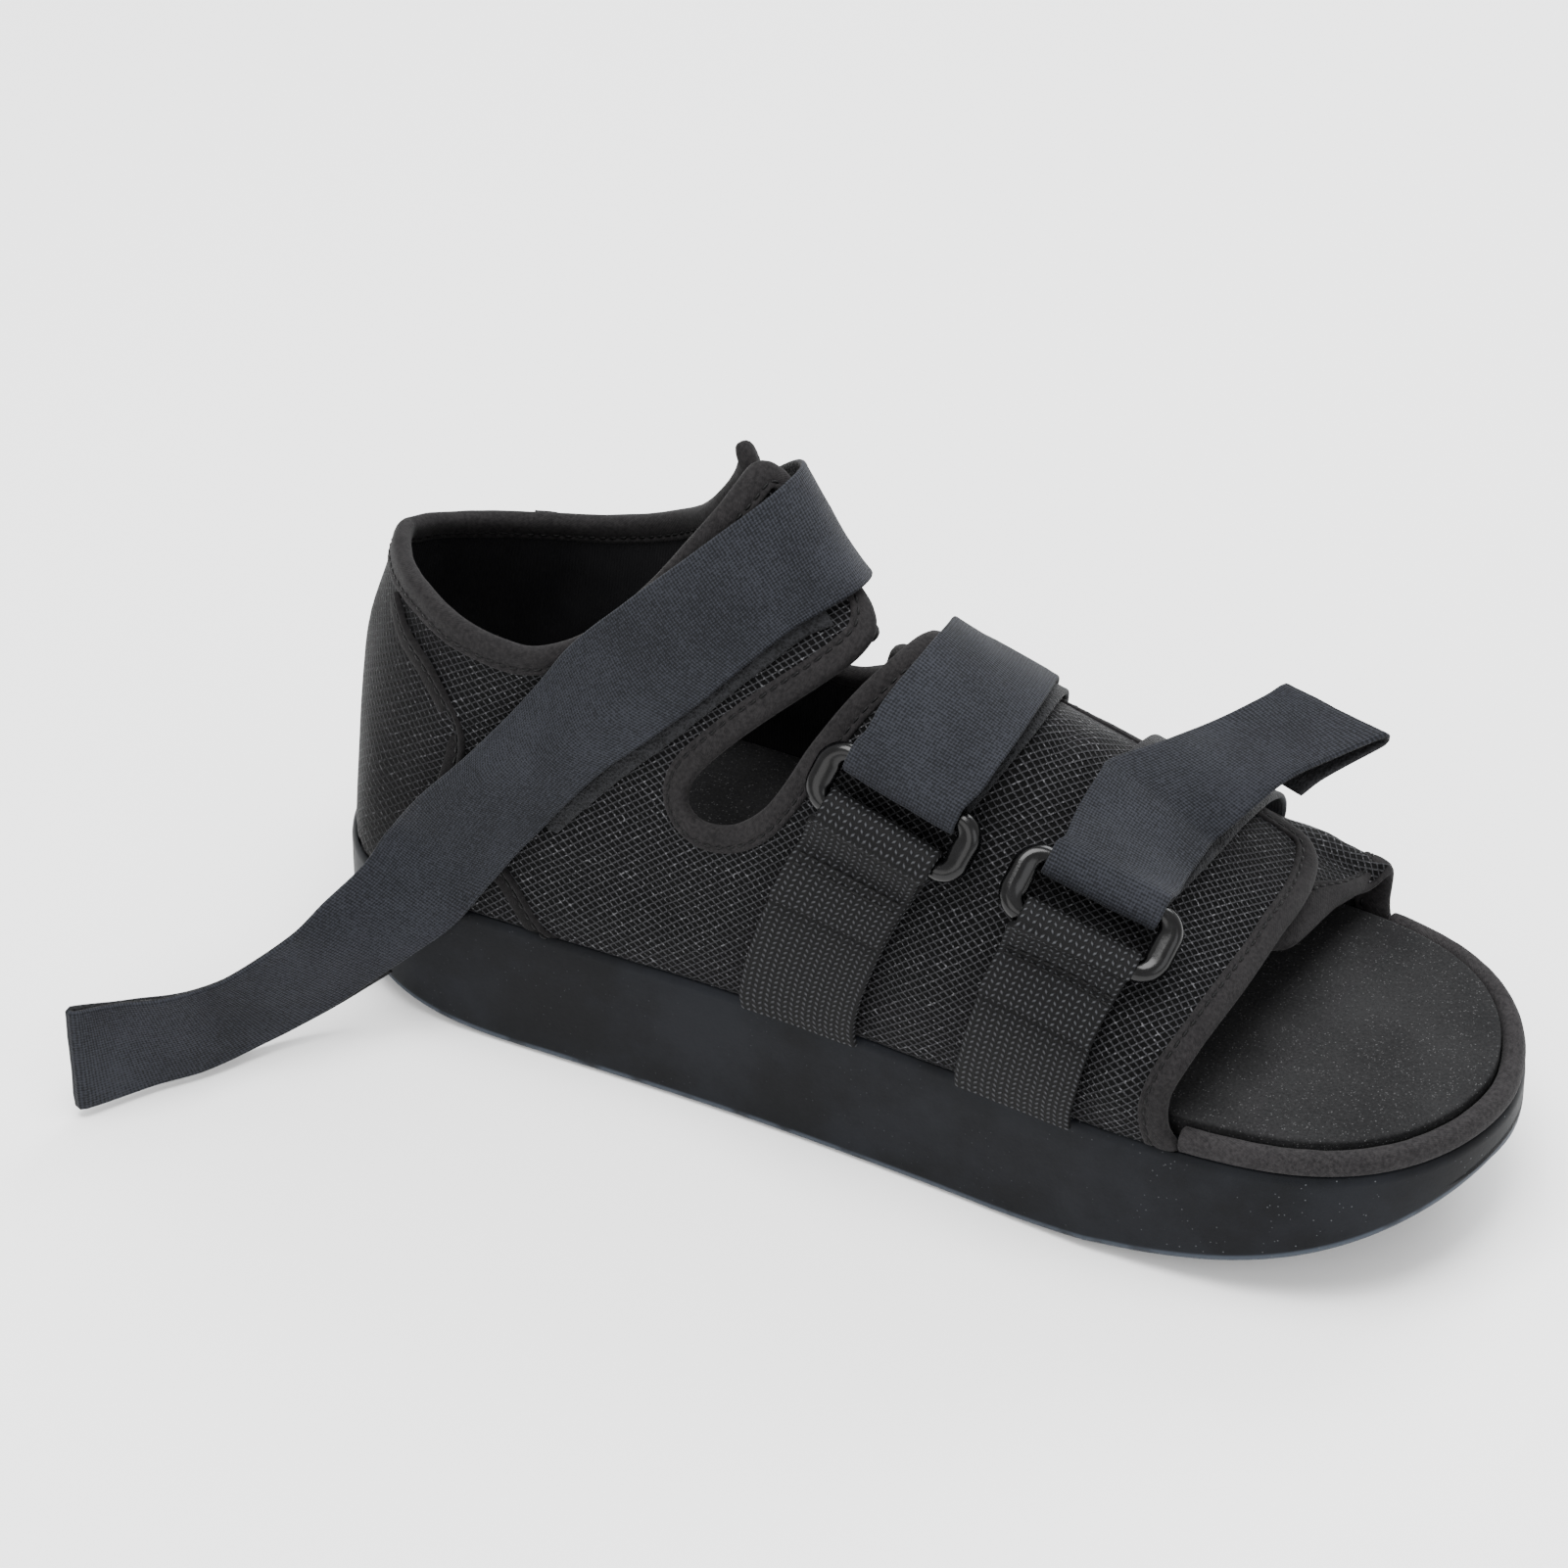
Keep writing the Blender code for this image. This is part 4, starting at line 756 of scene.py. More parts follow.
def creased(at):
    """How far worn-in creases and the padding's bulges lift the cloth from its even form."""
    lift = np.zeros(len(at))
    for deg, turn, end_deg, end_turn, height, width in CREASES:
        degs = deg + (end_deg - deg) * CREASE_SPOTS + CREASE_BOW * np.sin(pi * CREASE_SPOTS)
        line = form(degs, turn + (end_turn - turn) * CREASE_SPOTS)
        gap = np.linalg.norm(at[:, None] - line[None], axis=2)
        nearest = CREASE_SPOTS[gap.argmin(1)]
        lift += height * np.exp(-(gap.min(1) / width) ** 2) * np.sin(pi * np.clip(nearest, 0.06, 0.94))
    free = np.concatenate((near_cut, far_cut))[::3]
    gap = np.linalg.norm(at[:, None] - on_form(free)[None], axis=2).min(1)
    clear = np.clip((gap - EDGE_CALM) / EDGE_BLEND, 0, 1)
    return np.clip(lift, DEEPEST, HIGHEST) * clear * clear * (3 - 2 * clear)


cloth_points = place(pattern, creased(on_form(pattern)) - BOUND_WALL / 2)
upper = make_mesh("net_upper", cloth_points, triangles, uv=pattern)


def unwrapped(piece):
    """Lays the cloth map out flat without stretch. Returns the mesh's points and their places
    on the map, in millimetres, and the point of each face corner."""
    bpy.context.view_layer.objects.active = piece
    piece.select_set(True)
    bpy.ops.object.mode_set(mode="EDIT")
    bpy.ops.mesh.select_all(action="SELECT")
    bpy.ops.uv.unwrap(method="ANGLE_BASED", margin=0.0)
    bpy.ops.object.mode_set(mode="OBJECT")
    mesh = piece.data
    loops = np.zeros(len(mesh.loops), np.int32)
    mesh.loops.foreach_get("vertex_index", loops)
    uv = np.zeros(len(mesh.loops) * 2, np.float32)
    mesh.uv_layers["cloth"].data.foreach_get("uv", uv)
    by_point = np.zeros((len(mesh.vertices), 2))
    by_point[loops] = uv.reshape(-1, 2)
    points = np.array([v.co for v in mesh.vertices]) / MM
    edges = np.array([e.vertices for e in mesh.edges])
    real = np.linalg.norm(points[edges[:, 0]] - points[edges[:, 1]], axis=1)
    mapped = np.linalg.norm(by_point[edges[:, 0]] - by_point[edges[:, 1]], axis=1)
    by_point *= real.sum() / mapped.sum()
    return points, by_point, loops


points, by_point, loops = unwrapped(upper)
# The net's rows follow the sole along the near side: the map turns until that line is level.
LEVEL_HEIGHT, LEVEL_BAND, LEVEL_REACH = 60, 12, 60
level = (pattern[:, 0] > 0) & (np.abs(points[:, 2] - LEVEL_HEIGHT) < LEVEL_BAND) & (np.abs(points[:, 0]) < LEVEL_REACH)
slopes = [np.polyfit(points[level, 0], by_point[level, k], 1)[0] for k in range(2)]
turn_by = -np.arctan2(slopes[1], slopes[0])
by_point = by_point @ np.array(((np.cos(turn_by), np.sin(turn_by)), (-np.sin(turn_by), np.cos(turn_by))))
upper.data.uv_layers["cloth"].data.foreach_set("uv", by_point[loops].astype(np.float32).ravel())

net = Finish("spacer_net", gloss=0.05)
NET_U, NET_V = 2.5, 2.0


def net_height(cloth):
    """1 on the threads of a net of slanting pairs, 0 in its diamond holes."""
    u, v = cloth.part("X") / NET_U, cloth.part("Y") / NET_V
    rising, falling = (u + v).math("PINGPONG", 0.5), (u - v).math("PINGPONG", 0.5)
    return (1 - rising.ramp(0.07, 0.22)).math("MAXIMUM", 1 - falling.ramp(0.07, 0.22))


sway = net.cloth.noise(12.0, 1.0) * 1.6
sideways = sway.node("ShaderNodeCombineXYZ", (), {"X": sway, "Y": sway})
swayed = net.cloth.node("ShaderNodeVectorMath", {"operation": "ADD"}, {0: net.cloth, 1: sideways})
yarn = net_height(swayed)
strand = net.at.noise(0.45, 2.0)
light = net.at.noise(0.8, 1.0)
# Painted shade: the yarn and its glints are darkened towards the heel, by place along the shoe, down to a quarter at
# the back.
painted_heel_shade = 0.25 + 0.75 * net.at.part("X").ramp(-140.0, -78.0)
yarn_light = painted_heel_shade * (0.0110 + 0.0190 * strand.ramp(0.3, 0.7))
net_colour = yarn.mix((0.0005, 0.0005, 0.0006), yarn_light.mix((0.0, 0.0, 0.0), (1.0, 1.0, 1.08)))
# Painted highlights: bright glints put into the yarn's colour where the light noise is high.
painted_glint = painted_heel_shade * yarn * light.ramp(0.60, 0.72)
net_colour = painted_glint.mix(net_colour, (0.078, 0.078, 0.083))
upper.data.materials.append(net.paint(net_colour, 0.60 - 0.25 * painted_glint, yarn + 0.15 * strand, 0.60))
lining = Finish("tricot_lining", gloss=0.1)
knit = (lining.cloth.part("X") * 8.0).math("SINE")
lining_tone = lining.at.noise(6.0, 2.0)
upper.data.materials.append(lining.paint(lining_tone.mix((0.008, 0.008, 0.009), (0.013, 0.013, 0.014)), 0.85,
                                         knit * 0.3 + lining.at.noise(0.5), 0.12))
bpy.context.view_layer.objects.active = upper
wall = upper.modifiers.new("wall", "SOLIDIFY")
wall.thickness, wall.offset, wall.use_even_offset = MESH_WALL * MM, 0.0, False
wall.material_offset, wall.material_offset_rim = 1, 1
bpy.ops.object.modifier_apply(modifier=wall.name)
for corner in upper.data.vertices:
    corner.co.z = max(corner.co.z, SEAT * MM)
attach(upper, "root")
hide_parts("upper")


# Edge binding: brushed tape folded over the raw edge of the net and sewn through, in one run
# from the toe over both flaps, round the collar and down to the toe again. It is drawn in at
# its stitches, which lie in a shallow groove near its inner edge.
TAPE_SHAPE = (
    # in from the edge, out from the form: round the outside, then back along the cloth
    (6.5, -0.62), (6.45, -0.22), (6.1, -0.02), (5.5, 0.02), (5.2, -0.10), (4.9, -0.26), (4.6, -0.10), (4.0, 0.06),
    (2.8, 0.14), (1.7, 0.02), (0.8, -0.36), (0.2, -1.05), (0.0, -2.1), (0.2, -3.15), (0.8, -3.84), (1.7, -4.22),
    (2.8, -4.34), (4.0, -4.26), (4.6, -4.1), (4.9, -3.94), (5.2, -4.1), (5.5, -4.22), (6.1, -4.18),
    (6.45, -3.98), (6.5, -3.58), (4.0, -3.6), (2.0, -3.6), (1.0, -3.1), (0.75, -2.1), (1.0, -1.1), (2.0, -0.6),
    (4.0, -0.6),
)
FAR_TOE_EDGE, BROADER, STITCH_LINE, TAPE_MIDDLE, TAPE_SMOOTH = 88.0, 0.35, 4.9, -2.1, 60.0
tape_walk = walked(on_form(np.concatenate((near_free, far_free[-2::-1]))))


def on_tape(into, out, uneven=1.0):
    """Row of points along the binding, so far in from the edge and out from the form."""
    broad = BROADER * np.clip((tape_walk - tape_walk[-1] + FAR_TOE_EDGE) / 25.0, 0, 1)
    width = into * (1 + broad + 0.03 * uneven * rippled(tape_walk, 0.7, 14.0))[:, None]
    near_width, far_width = width[:len(near_free)], width[:len(near_free) - 1:-1]
    near_row = picked(near_spots + near_in * near_width, 1)
    far_row = picked((far_spots + far_in * np.concatenate((far_width, far_width[-1:])))[:-1], -1)
    seed, away = (2.0, 1) if out > TAPE_MIDDLE else (3.1, -1)
    puff = 0.09 * uneven * rippled(tape_walk, seed, 6.0) * away
    p = place(np.concatenate((near_row, far_row[::-1])), out + puff)
    p[:, 2] = np.maximum(p[:, 2], SEAT)
    return p


tape_rows = np.stack([on_tape(*spot) for spot in TAPE_SHAPE], 1)
tape_round = walked(np.array(TAPE_SHAPE))
tape_map = np.stack(np.broadcast_arrays(tape_walk[:, None], tape_round[None]), -1)
tape_count = len(TAPE_SHAPE)
tape_faces = stacked_faces(len(tape_rows), tape_count) + end_caps(len(tape_rows), tape_count)
binding = make_mesh("edge_binding", tape_rows.reshape(-1, 3), tape_faces, tape_map.reshape(-1, 2), TAPE_SMOOTH)
binding.data.materials.append(brushed_tape("binding_tape", 0.94))
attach(binding, "root")


# Sewing thread: lockstitches along the binding, inside and outside. Each is a short bead of
# black thread that sinks into the tape at both ends.
STITCH, STITCH_GAP, THREAD, THREAD_WALLS = 2.1, 0.9, 0.34, 8
BEAD = np.array((
    # share along the stitch, height over the cloth, share of the thread's radius
    (0.0, -0.22, 0.55), (0.12, -0.02, 0.95), (0.5, 0.1, 1.0), (0.88, -0.02, 0.95), (1.0, -0.22, 0.55),
))


def stitched(name, lines):
    """Stitches along lines of points, each given with the directions out of its cloth."""
    points, faces = [], []
    for line, out in lines:
        walk = walked(line)
        for start in np.arange(1.5, walk[-1] - STITCH, STITCH + STITCH_GAP):
            marks = start + STITCH * BEAD[:, 0]
            middle = np.stack([np.interp(marks, walk, line[:, k]) for k in range(3)], 1)
            away = np.stack([np.interp(marks, walk, out[:, k]) for k in range(3)], 1)
            ahead = unit(middle[-1] - middle[0])
            away = unit(away - ahead * (away @ ahead)[:, None])
            side = np.cross(ahead, away)
            middle = middle + away * BEAD[:, 1, None]
            radius = THREAD * BEAD[:, 2]
            base = len(points)
            for k in range(len(BEAD)):
                for j in range(THREAD_WALLS):
                    turn = 2 * pi * j / THREAD_WALLS
                    points.append(middle[k] + (side[k] * cos(turn) + away[k] * sin(turn)) * radius[k])
            bead_faces = stacked_faces(len(BEAD), THREAD_WALLS) + end_caps(len(BEAD), THREAD_WALLS)
            faces += [tuple(base + i for i in face) for face in bead_faces]
    piece = make_mesh(name, points, faces)
    piece.data.materials.append(thread_finish)
    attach(piece, "root")


thread = Finish("sewing_thread", gloss=0.12)
thread_finish = thread.paint(thread.at.noise(0.3).mix((0.0015, 0.0015, 0.0016), (0.0050, 0.0050, 0.0052)), 0.5,
                             thread.at.noise(0.2), 0.05)
tape_out = unit(on_tape(STITCH_LINE, 1.0, 0.0) - on_tape(STITCH_LINE, 0.0, 0.0))
stitched("binding_stitches", ((on_tape(STITCH_LINE, -0.2), tape_out),))
stitched("binding_stitches_inside", ((on_tape(STITCH_LINE, -4.0), -tape_out),))


# Heel seams: folded tape sewn over the joint of heel and side panels, with a raised ridge on
# its front edge. One runs from the collar down to the sole on either side of the heel.
HEEL_SEAM = ((62.6, 0.765), (61.3, 0.715), (58.9, 0.64), (55.1, 0.60), (51.0, 0.655), (47.0, 0.75), (44.5, 0.865),
             (43.0, 0.995))
SEAM_SHAPE = (
    # across from the middle, out from the form
    (-2.6, -0.75), (-2.55, -0.35), (-2.2, -0.12), (-1.2, -0.05), (0.2, -0.10), (0.7, -0.18), (1.0, 0.10), (1.45, 0.42),
    (1.95, 0.50), (2.4, 0.30), (2.65, -0.20), (2.7, -0.75),
)
SEAM_STITCH_LINE = 0.45
# Painted shade: the heel seams' tape is made about half as light as the binding's, darker at the heel.
seam_finish = brushed_tape("seam_tape", 0.45)


def seam_strip(name, table, side):
    """Tape laid over a seam of the upper, its ridge towards the toe."""
    half = 1 if side == "near" else -1
    line = spaced(flowing(flat(table, side)), 1.2, on_form)
    spots, across = drawn_in(line, half)
    walk = walked(on_form(line))
    rows = np.stack([place(picked(spots + across * spot, half), out + 0.05 * rippled(walk, 1.0 + spot, 5.0))
                     for spot, out in SEAM_SHAPE], 1)
    rows[..., 2] = np.maximum(rows[..., 2], SEAT)
    loop = walked(np.array(SEAM_SHAPE))
    cloth = np.stack(np.broadcast_arrays(walk[:, None], loop[None]), -1)
    count = len(SEAM_SHAPE)
    faces = stacked_faces(len(rows), count) + end_caps(len(rows), count)
    strip = make_mesh(name, rows.reshape(-1, 3), faces, cloth.reshape(-1, 2), TAPE_SMOOTH)
    strip.data.materials.append(seam_finish)
    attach(strip, "root")
    out = unit(place(line, np.ones(len(line))) - on_form(line))
    return place(picked(spots + across * SEAM_STITCH_LINE, half), np.full(len(line), -0.1)), out


seam_lines = [seam_strip("heel_seam_near", HEEL_SEAM, "near"),
              seam_strip("heel_seam_far", [(60.2, -0.69)] + [(deg, -turn) for deg, turn in HEEL_SEAM[2:]], "far")]
stitched("heel_seam_stitches", seam_lines)


# Straps: polyester fastening tape with a fine woven face and a fuzzy looped back. The ankle
# strap is sewn in at the far side and hangs loose behind the heel, its hook tab folded under.
STRAP_THICK, LAID_GAP = 1.5, 1.0
STRAP_OFF = LAID_GAP + STRAP_THICK / 2
HOOK_TAB, TAB_DROP, LOWEST = 60.0, 5.0, 1.0
ANKLE_PATH = (
    # left edge's section angle and turn, right edge's section angle and turn
    (53.0, -0.66, 46.6, -0.56), (56.5, -0.50, 48.4, -0.42), (59.4, -0.34, 49.8, -0.28), (62.0, -0.17, 50.6, -0.14),
    (62.9, 0.00, 51.3, 0.02), (62.1, 0.188, 52.0, 0.158), (60.1, 0.34, 51.0, 0.293), (58.6, 0.424, 50.3, 0.394),
    (56.4, 0.492, 49.8, 0.487), (54.1, 0.59, 48.7, 0.596), (51.9, 0.74, 47.5, 0.74),
)
ANKLE_TAIL = np.array((
    # upper edge along, across and up, then the lower edge, as shares of the sole's length
    (-0.418, -0.176, 0.164, -0.344, -0.159, 0.118), (-0.436, -0.212, 0.143, -0.375, -0.171, 0.087),
    (-0.448, -0.240, 0.127, -0.400, -0.183, 0.064), (-0.474, -0.267, 0.105, -0.431, -0.207, 0.038),
    (-0.495, -0.294, 0.095, -0.465, -0.240, 0.017), (-0.518, -0.332, 0.100, -0.503, -0.298, 0.008),
    (-0.544, -0.356, 0.103, -0.530, -0.333, 0.008), (-0.566, -0.384, 0.107, -0.564, -0.385, 0.008),
))
PLACES = np.linspace(0, 1, 4)


def across(path, s, off):
    """Row of points over the form, across a strap at s along its path."""
    path, walk = np.array(path), np.arange(len(path))
    deg_left, turn_left, deg_right, turn_right = (curve(walk, path[:, k], s) for k in range(4))
    deg, turn = deg_left + (deg_right - deg_left) * PLACES, turn_left + (turn_right - turn_left) * PLACES
    return form(deg, turn) + outward(deg, turn) * off


def straight_row(left, right):
    """Row of points straight across a strap between its two edges."""
    return left + (right - left) * PLACES[:, None]


def facing(row, before):
    """Unit normal of a strap at a row, away from the foot, and its direction of travel."""
    ahead = unit((row - before).sum(0))
    up = unit(np.cross(row[-1] - row[0], ahead))
    return (up if up @ (row[0] - (row[0][0], 0, SEAT)) > 0 else -up), ahead


def fold(row, ahead, up, radius, steps=6):
    """Rows that turn a strap back on itself, around a bar on the side that up points to."""
    centre = row + up * radius
    return [centre - up * radius * cos(pi * k / steps) + ahead * radius * sin(pi * k / steps)
            for k in range(1, steps + 1)]


def tucked(rows, side, reach_back, steps, radius, spread=0.2, drop=0.0):
    """Rows of a tab folded back along the strap's own end, on the side given, spreading
    from it towards the tab's end and hanging lower there by the drop."""
    ahead = facing(rows[-1], rows[-2])[1]
    turn = fold(rows[-1], ahead, side, radius, 4)
    lengths = [0.0] + [np.linalg.norm(row[0] - before[0]) for before, row in zip(rows, rows[1:])]
    done, at, tab = 0.0, len(rows) - 1, []
    for k in range(1, steps + 1):
        goal = reach_back * k / steps
        while at > 1 and done + lengths[at] < goal:
            done += lengths[at]
            at -= 1
        share = (goal - done) / lengths[at]
        row = rows[at] + (rows[at - 1] - rows[at]) * share + side * 2 * radius * (1 + spread * k)
        tab.append(row - np.array((0.0, 0.0, min(drop * k / steps, row[:, 2].min() - LOWEST))))
    return rows + turn + tab


SELVAGE = np.array((
    # share across the strap, share of half its thickness
    (0.0, 0.0), (0.004, 0.55), (0.012, 0.88), (0.03, 1.06), (0.06, 1.0), (0.15, 1.0), (0.27, 1.0), (0.385, 1.0),
    (0.5, 1.0), (0.615, 1.0), (0.73, 1.0), (0.85, 1.0), (0.94, 1.0), (0.97, 1.06), (0.988, 0.88), (0.996, 0.55),
    (1.0, 0.0),
))


def band(name, rows, thick, faces_of, seed, wave=0.16, step=1.2):
    """Strap through rows of points across it, with soft edges and a little waviness.
    faces_of holds the finish of its first side and of its other side. Returns the strap, its
    middle layer and the directions out of it."""
    rows = np.array(rows)
    walk = walked(rows.mean(1))
    marks = np.linspace(0, walk[-1], int(walk[-1] / step) + 1)
    weights = np.array([curve(PLACES, np.eye(4)[k], SELVAGE[:, 0]) for k in range(4)])
    lanes = np.array([[curve(walk, rows[:, j, k], marks) for k in range(3)] for j in range(4)])
    middle = np.einsum("jkn,jm->nmk", lanes, weights)
    wide = np.linalg.norm(rows[:, -1] - rows[:, 0], axis=1).mean()
    lengthwise = np.gradient(middle, axis=0)
    crosswise = (middle[:, -1] - middle[:, 0])[:, None] + np.zeros_like(middle)
    out = unit(np.cross(crosswise, lengthwise))
    s, w = np.meshgrid(marks, SELVAGE[:, 0] * wide, indexing="ij")
    waves = rippled(s + 1.7 * w, seed, 22.0) + 0.5 * rippled(s - 2.3 * w, seed + 1, 13.0)
    middle += out * (wave * waves)[..., None]
    middle += unit(crosswise) * (0.14 * rippled(marks, seed + 2, 19.0))[:, None, None]
    half = out * (SELVAGE[:, 1] * thick / 2)[None, :, None]
    first, other = middle + half, (middle - half)[:, -2:0:-1]
    around = np.concatenate((first, other), 1)
    lying = np.concatenate((w, w[:, -2:0:-1]), 1)
    count = around.shape[1]
    laid = np.stack((lying, np.broadcast_to(marks[:, None], lying.shape)), -1)
    faces = stacked_faces(len(marks), count) + lid(0, count) + lid((len(marks) - 1) * count, count)
    piece = make_mesh(name, around.reshape(-1, 3), faces, laid.reshape(-1, 2), TAPE_SMOOTH)
    for finish in faces_of:
        piece.data.materials.append(finish)
    sides = np.zeros(len(faces), np.int32)
    sides[:(len(marks) - 1) * count] = np.tile(np.arange(count) >= len(SELVAGE) - 1, len(marks) - 1)
    piece.data.polygons.foreach_set("material_index", sides)
    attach(piece, "root")
    return piece, middle, out


woven = Finish("woven_face", gloss=0.15, sheen=0.02)
warp, weft = ((woven.cloth.part(way) * 8.4).math("SINE") for way in "XY")
uneven = woven.at.noise(0.75, 3.0, 0.65)
cloudy = woven.at.noise(18.0, 2.0)
woven_tone = (cloudy * 0.3 + uneven * 0.62 + 0.07 * warp + 0.09 * weft).ramp(0.32, 0.62)
woven_colour = woven_tone.mix((0.0036, 0.0041, 0.0056), (0.0172, 0.0186, 0.0238))
woven_finish = woven.paint(woven_colour, 0.74 + 0.12 * uneven, warp * 0.3 + weft * 0.3 + uneven, 0.16)
looped_pile = Finish("looped_pile", gloss=0.15, sheen=0.03)
curls = looped_pile.at.cells(0.7)
matted = looped_pile.at.noise(3.0, 3.0)
pile_tone = (curls * 0.6 + matted * 0.6).ramp(0.3, 0.8)
pile_colour = pile_tone.mix((0.0018, 0.0019, 0.0022), (0.0105, 0.0108, 0.0122))
pile_finish = looped_pile.paint(pile_colour, 0.8, curls + matted, 0.35)

ANKLE_ROWS = 19
rows = [across(ANKLE_PATH, s, STRAP_OFF) for s in np.linspace(0, len(ANKLE_PATH) - 1, ANKLE_ROWS)]
rows += [straight_row(spot[:3] * SOLE_LENGTH, spot[3:] * SOLE_LENGTH) for spot in ANKLE_TAIL]
up = facing(rows[-1], rows[-2])[0]
rows = tucked(rows, up if up[0] < 0 else -up, HOOK_TAB, 4, GAP + STRAP_THICK / 2, drop=TAB_DROP)
strap = band("ankle_tape", rows, STRAP_THICK, (pile_finish, woven_finish), 1.0)[0]
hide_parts("ankle_strap")


# Landing patch: a strip of looped tape sewn flat on the near ankle flap, which the ankle
# strap's hooks grip. Its lower edge shows under the strap.
PATCH_PATH = (
    (61.6, 0.08, 50.3, 0.10), (61.0, 0.188, 50.9, 0.168), (59.3, 0.34, 50.2, 0.293), (57.8, 0.424, 49.4, 0.394),
    (55.6, 0.492, 48.9, 0.487), (53.5, 0.57, 48.0, 0.60),
)
PATCH_THICK, PATCH_OFF, PATCH_ROWS = 1.1, 0.05, 14
rows = [across(PATCH_PATH, s, PATCH_OFF) for s in np.linspace(0, len(PATCH_PATH) - 1, PATCH_ROWS)]
band("ankle_patch", rows, PATCH_THICK, (pile_finish, pile_finish), 3.0, wave=0.08)


# Rings: oblong loops of moulded black plastic, glossy and slightly worn, each held between a
# strap and a webbing tab, which are led round its two long bars.
RING_WIRE, RING_CORNER, RING_FULL, RING_STEPS, RING_WALLS = 4.6, 4.4, 1.6, 12, 20
BAR_ROOM = RING_WIRE / 2 + GAP
WEBBING_THICK = 1.6
TAB_OFF = LAID_GAP + WEBBING_THICK / 2
MIDFOOT_PATH = (
    (33.0, -0.92, 26.0, -0.92), (35.3, -0.75, 27.8, -0.75), (38.2, -0.52, 29.4, -0.52), (41.0, -0.33, 30.8, -0.33),
    (42.6, -0.17, 31.6, -0.17), (43.2, -0.02, 31.7, 0.00), (42.3, 0.15, 31.1, 0.14), (40.3, 0.268, 30.2, 0.262),
)
FOREFOOT_PATH = (
    (19.0, -0.92, 10.4, -0.92), (20.0, -0.75, 10.7, -0.75), (21.3, -0.52, 10.6, -0.52), (22.3, -0.33, 10.6, -0.33),
    (22.9, -0.15, 10.8, -0.15), (23.2, 0.00, 11.1, 0.00), (22.8, 0.13, 11.2, 0.11), (21.6, 0.245, 11.5, 0.20),
)
MIDFOOT_TAB = (
    (33.4, 0.92, 26.3, 0.92), (34.9, 0.74, 27.5, 0.74), (37.3, 0.54, 28.8, 0.54), (39.7, 0.35, 29.7, 0.355),
)
FOREFOOT_TAB = (
    (19.5, 0.92, 10.8, 0.92), (20.1, 0.74, 11.1, 0.74), (21.0, 0.52, 11.1, 0.50), (21.7, 0.345, 10.9, 0.305),
)


def ring_seat(strap, tab):
    """Where a ring lies: its middle, directions, half sizes and the axes of its long bars."""
    bars, widths = [], []
    for path, off, thick in ((strap, STRAP_OFF, STRAP_THICK), (tab, TAB_OFF, WEBBING_THICK)):
        end = len(path) - 1
        before, row = across(path, end - 0.3, off), across(path, end, off)
        up = facing(row, before)[0]
        bulge = ((row - straight_row(row[0], row[-1])) @ up).max()
        bars.append([p + up * (bulge + BAR_ROOM + thick / 2) for p in (row[0], row[-1])])
        widths.append(np.linalg.norm(row[-1] - row[0]))
    along = unit(bars[0][1] - bars[0][0] + bars[1][1] - bars[1][0])
    upper_bar, lower_bar = sum(bars[0]) / 2, sum(bars[1]) / 2
    rise = upper_bar - lower_bar
    rise = rise - along * (rise @ along)
    return {
        "centre": (upper_bar + lower_bar) / 2, "along": along, "rise": unit(rise), "up": unit(np.cross(along, rise)),
        "tall": np.linalg.norm(rise) / 2, "wide": max(widths) / 2 + RING_CORNER, "half": max(widths) / 2,
    }


moulded = Finish("moulded_plastic", gloss=0.5)
moulded.shader.inputs["IOR"].default_value = 1.32
scuff = moulded.at.noise(2.2, 4.0, 0.7)
ring_finish = moulded.paint(scuff.ramp(0.4, 0.7).mix((0.0008, 0.0008, 0.0009), (0.0022, 0.0022, 0.0025)),
                            0.14 + 0.12 * scuff, scuff, 0.03)


def oblong_ring(name, node, seat):
    """Round bar bent to an oblong with soft corners, its ends fuller on the inside."""
    middle, out, full = [], [], []
    for side, lift, first in ((1, 1, 0), (1, -1, 1), (-1, -1, 2), (-1, 1, 3)):
        pivot = seat["centre"] + seat["along"] * side * (seat["wide"] - RING_CORNER)
        pivot = pivot + seat["rise"] * lift * (seat["tall"] - RING_CORNER)
        for k in range(RING_STEPS + 1):
            angle = pi / 2 * (1 - first - k / RING_STEPS)
            out.append(seat["along"] * cos(angle) + seat["rise"] * sin(angle))
            middle.append(pivot + out[-1] * RING_CORNER)
            full.append(RING_WIRE / 2 + RING_FULL * abs(cos(angle)))
    around = [2 * pi * j / RING_WALLS for j in range(RING_WALLS)]
    points = [m + o * cos(a) * (RING_WIRE / 2 if cos(a) > 0 else f) + seat["up"] * sin(a) * RING_WIRE / 2
              for m, o, f in zip(middle, out, full) for a in around]
    faces = stacked_faces(len(middle), RING_WALLS)
    last = (len(middle) - 1) * RING_WALLS
    faces += [(last + j, last + (j + 1) % RING_WALLS, (j + 1) % RING_WALLS, j) for j in range(RING_WALLS)]
    ring = make_mesh(name, points, faces)
    ring.data.materials.append(ring_finish)
    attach(ring, "root")
    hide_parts(node)


midfoot_seat, forefoot_seat = ring_seat(MIDFOOT_PATH, MIDFOOT_TAB), ring_seat(FOREFOOT_PATH, FOREFOOT_TAB)
oblong_ring("midfoot_loop", "midfoot_ring", midfoot_seat)
oblong_ring("forefoot_loop", "forefoot_ring", forefoot_seat)


# Midfoot strap: the same tape with its woven face out, sewn in at the far side, led over the
# instep and through its ring, and pressed back down on its own looped face.
STRAP_ROWS, LAYER_GAP, SEAM_DRAW = 16, 0.5, 0.55


def flattened(row, up, share):
    """The row pulled towards a straight line across the strap, clear of the form's bulge."""
    chord = straight_row(row[0], row[-1])
    bulge = max(((row - chord) @ up).max(), 0.0)
    return row + (chord + up * bulge - row) * share


def eased(t):
    """0 to 1 with a soft start and end."""
    t = min(1.0, max(0.0, t))
    return t * t * (3 - 2 * t)


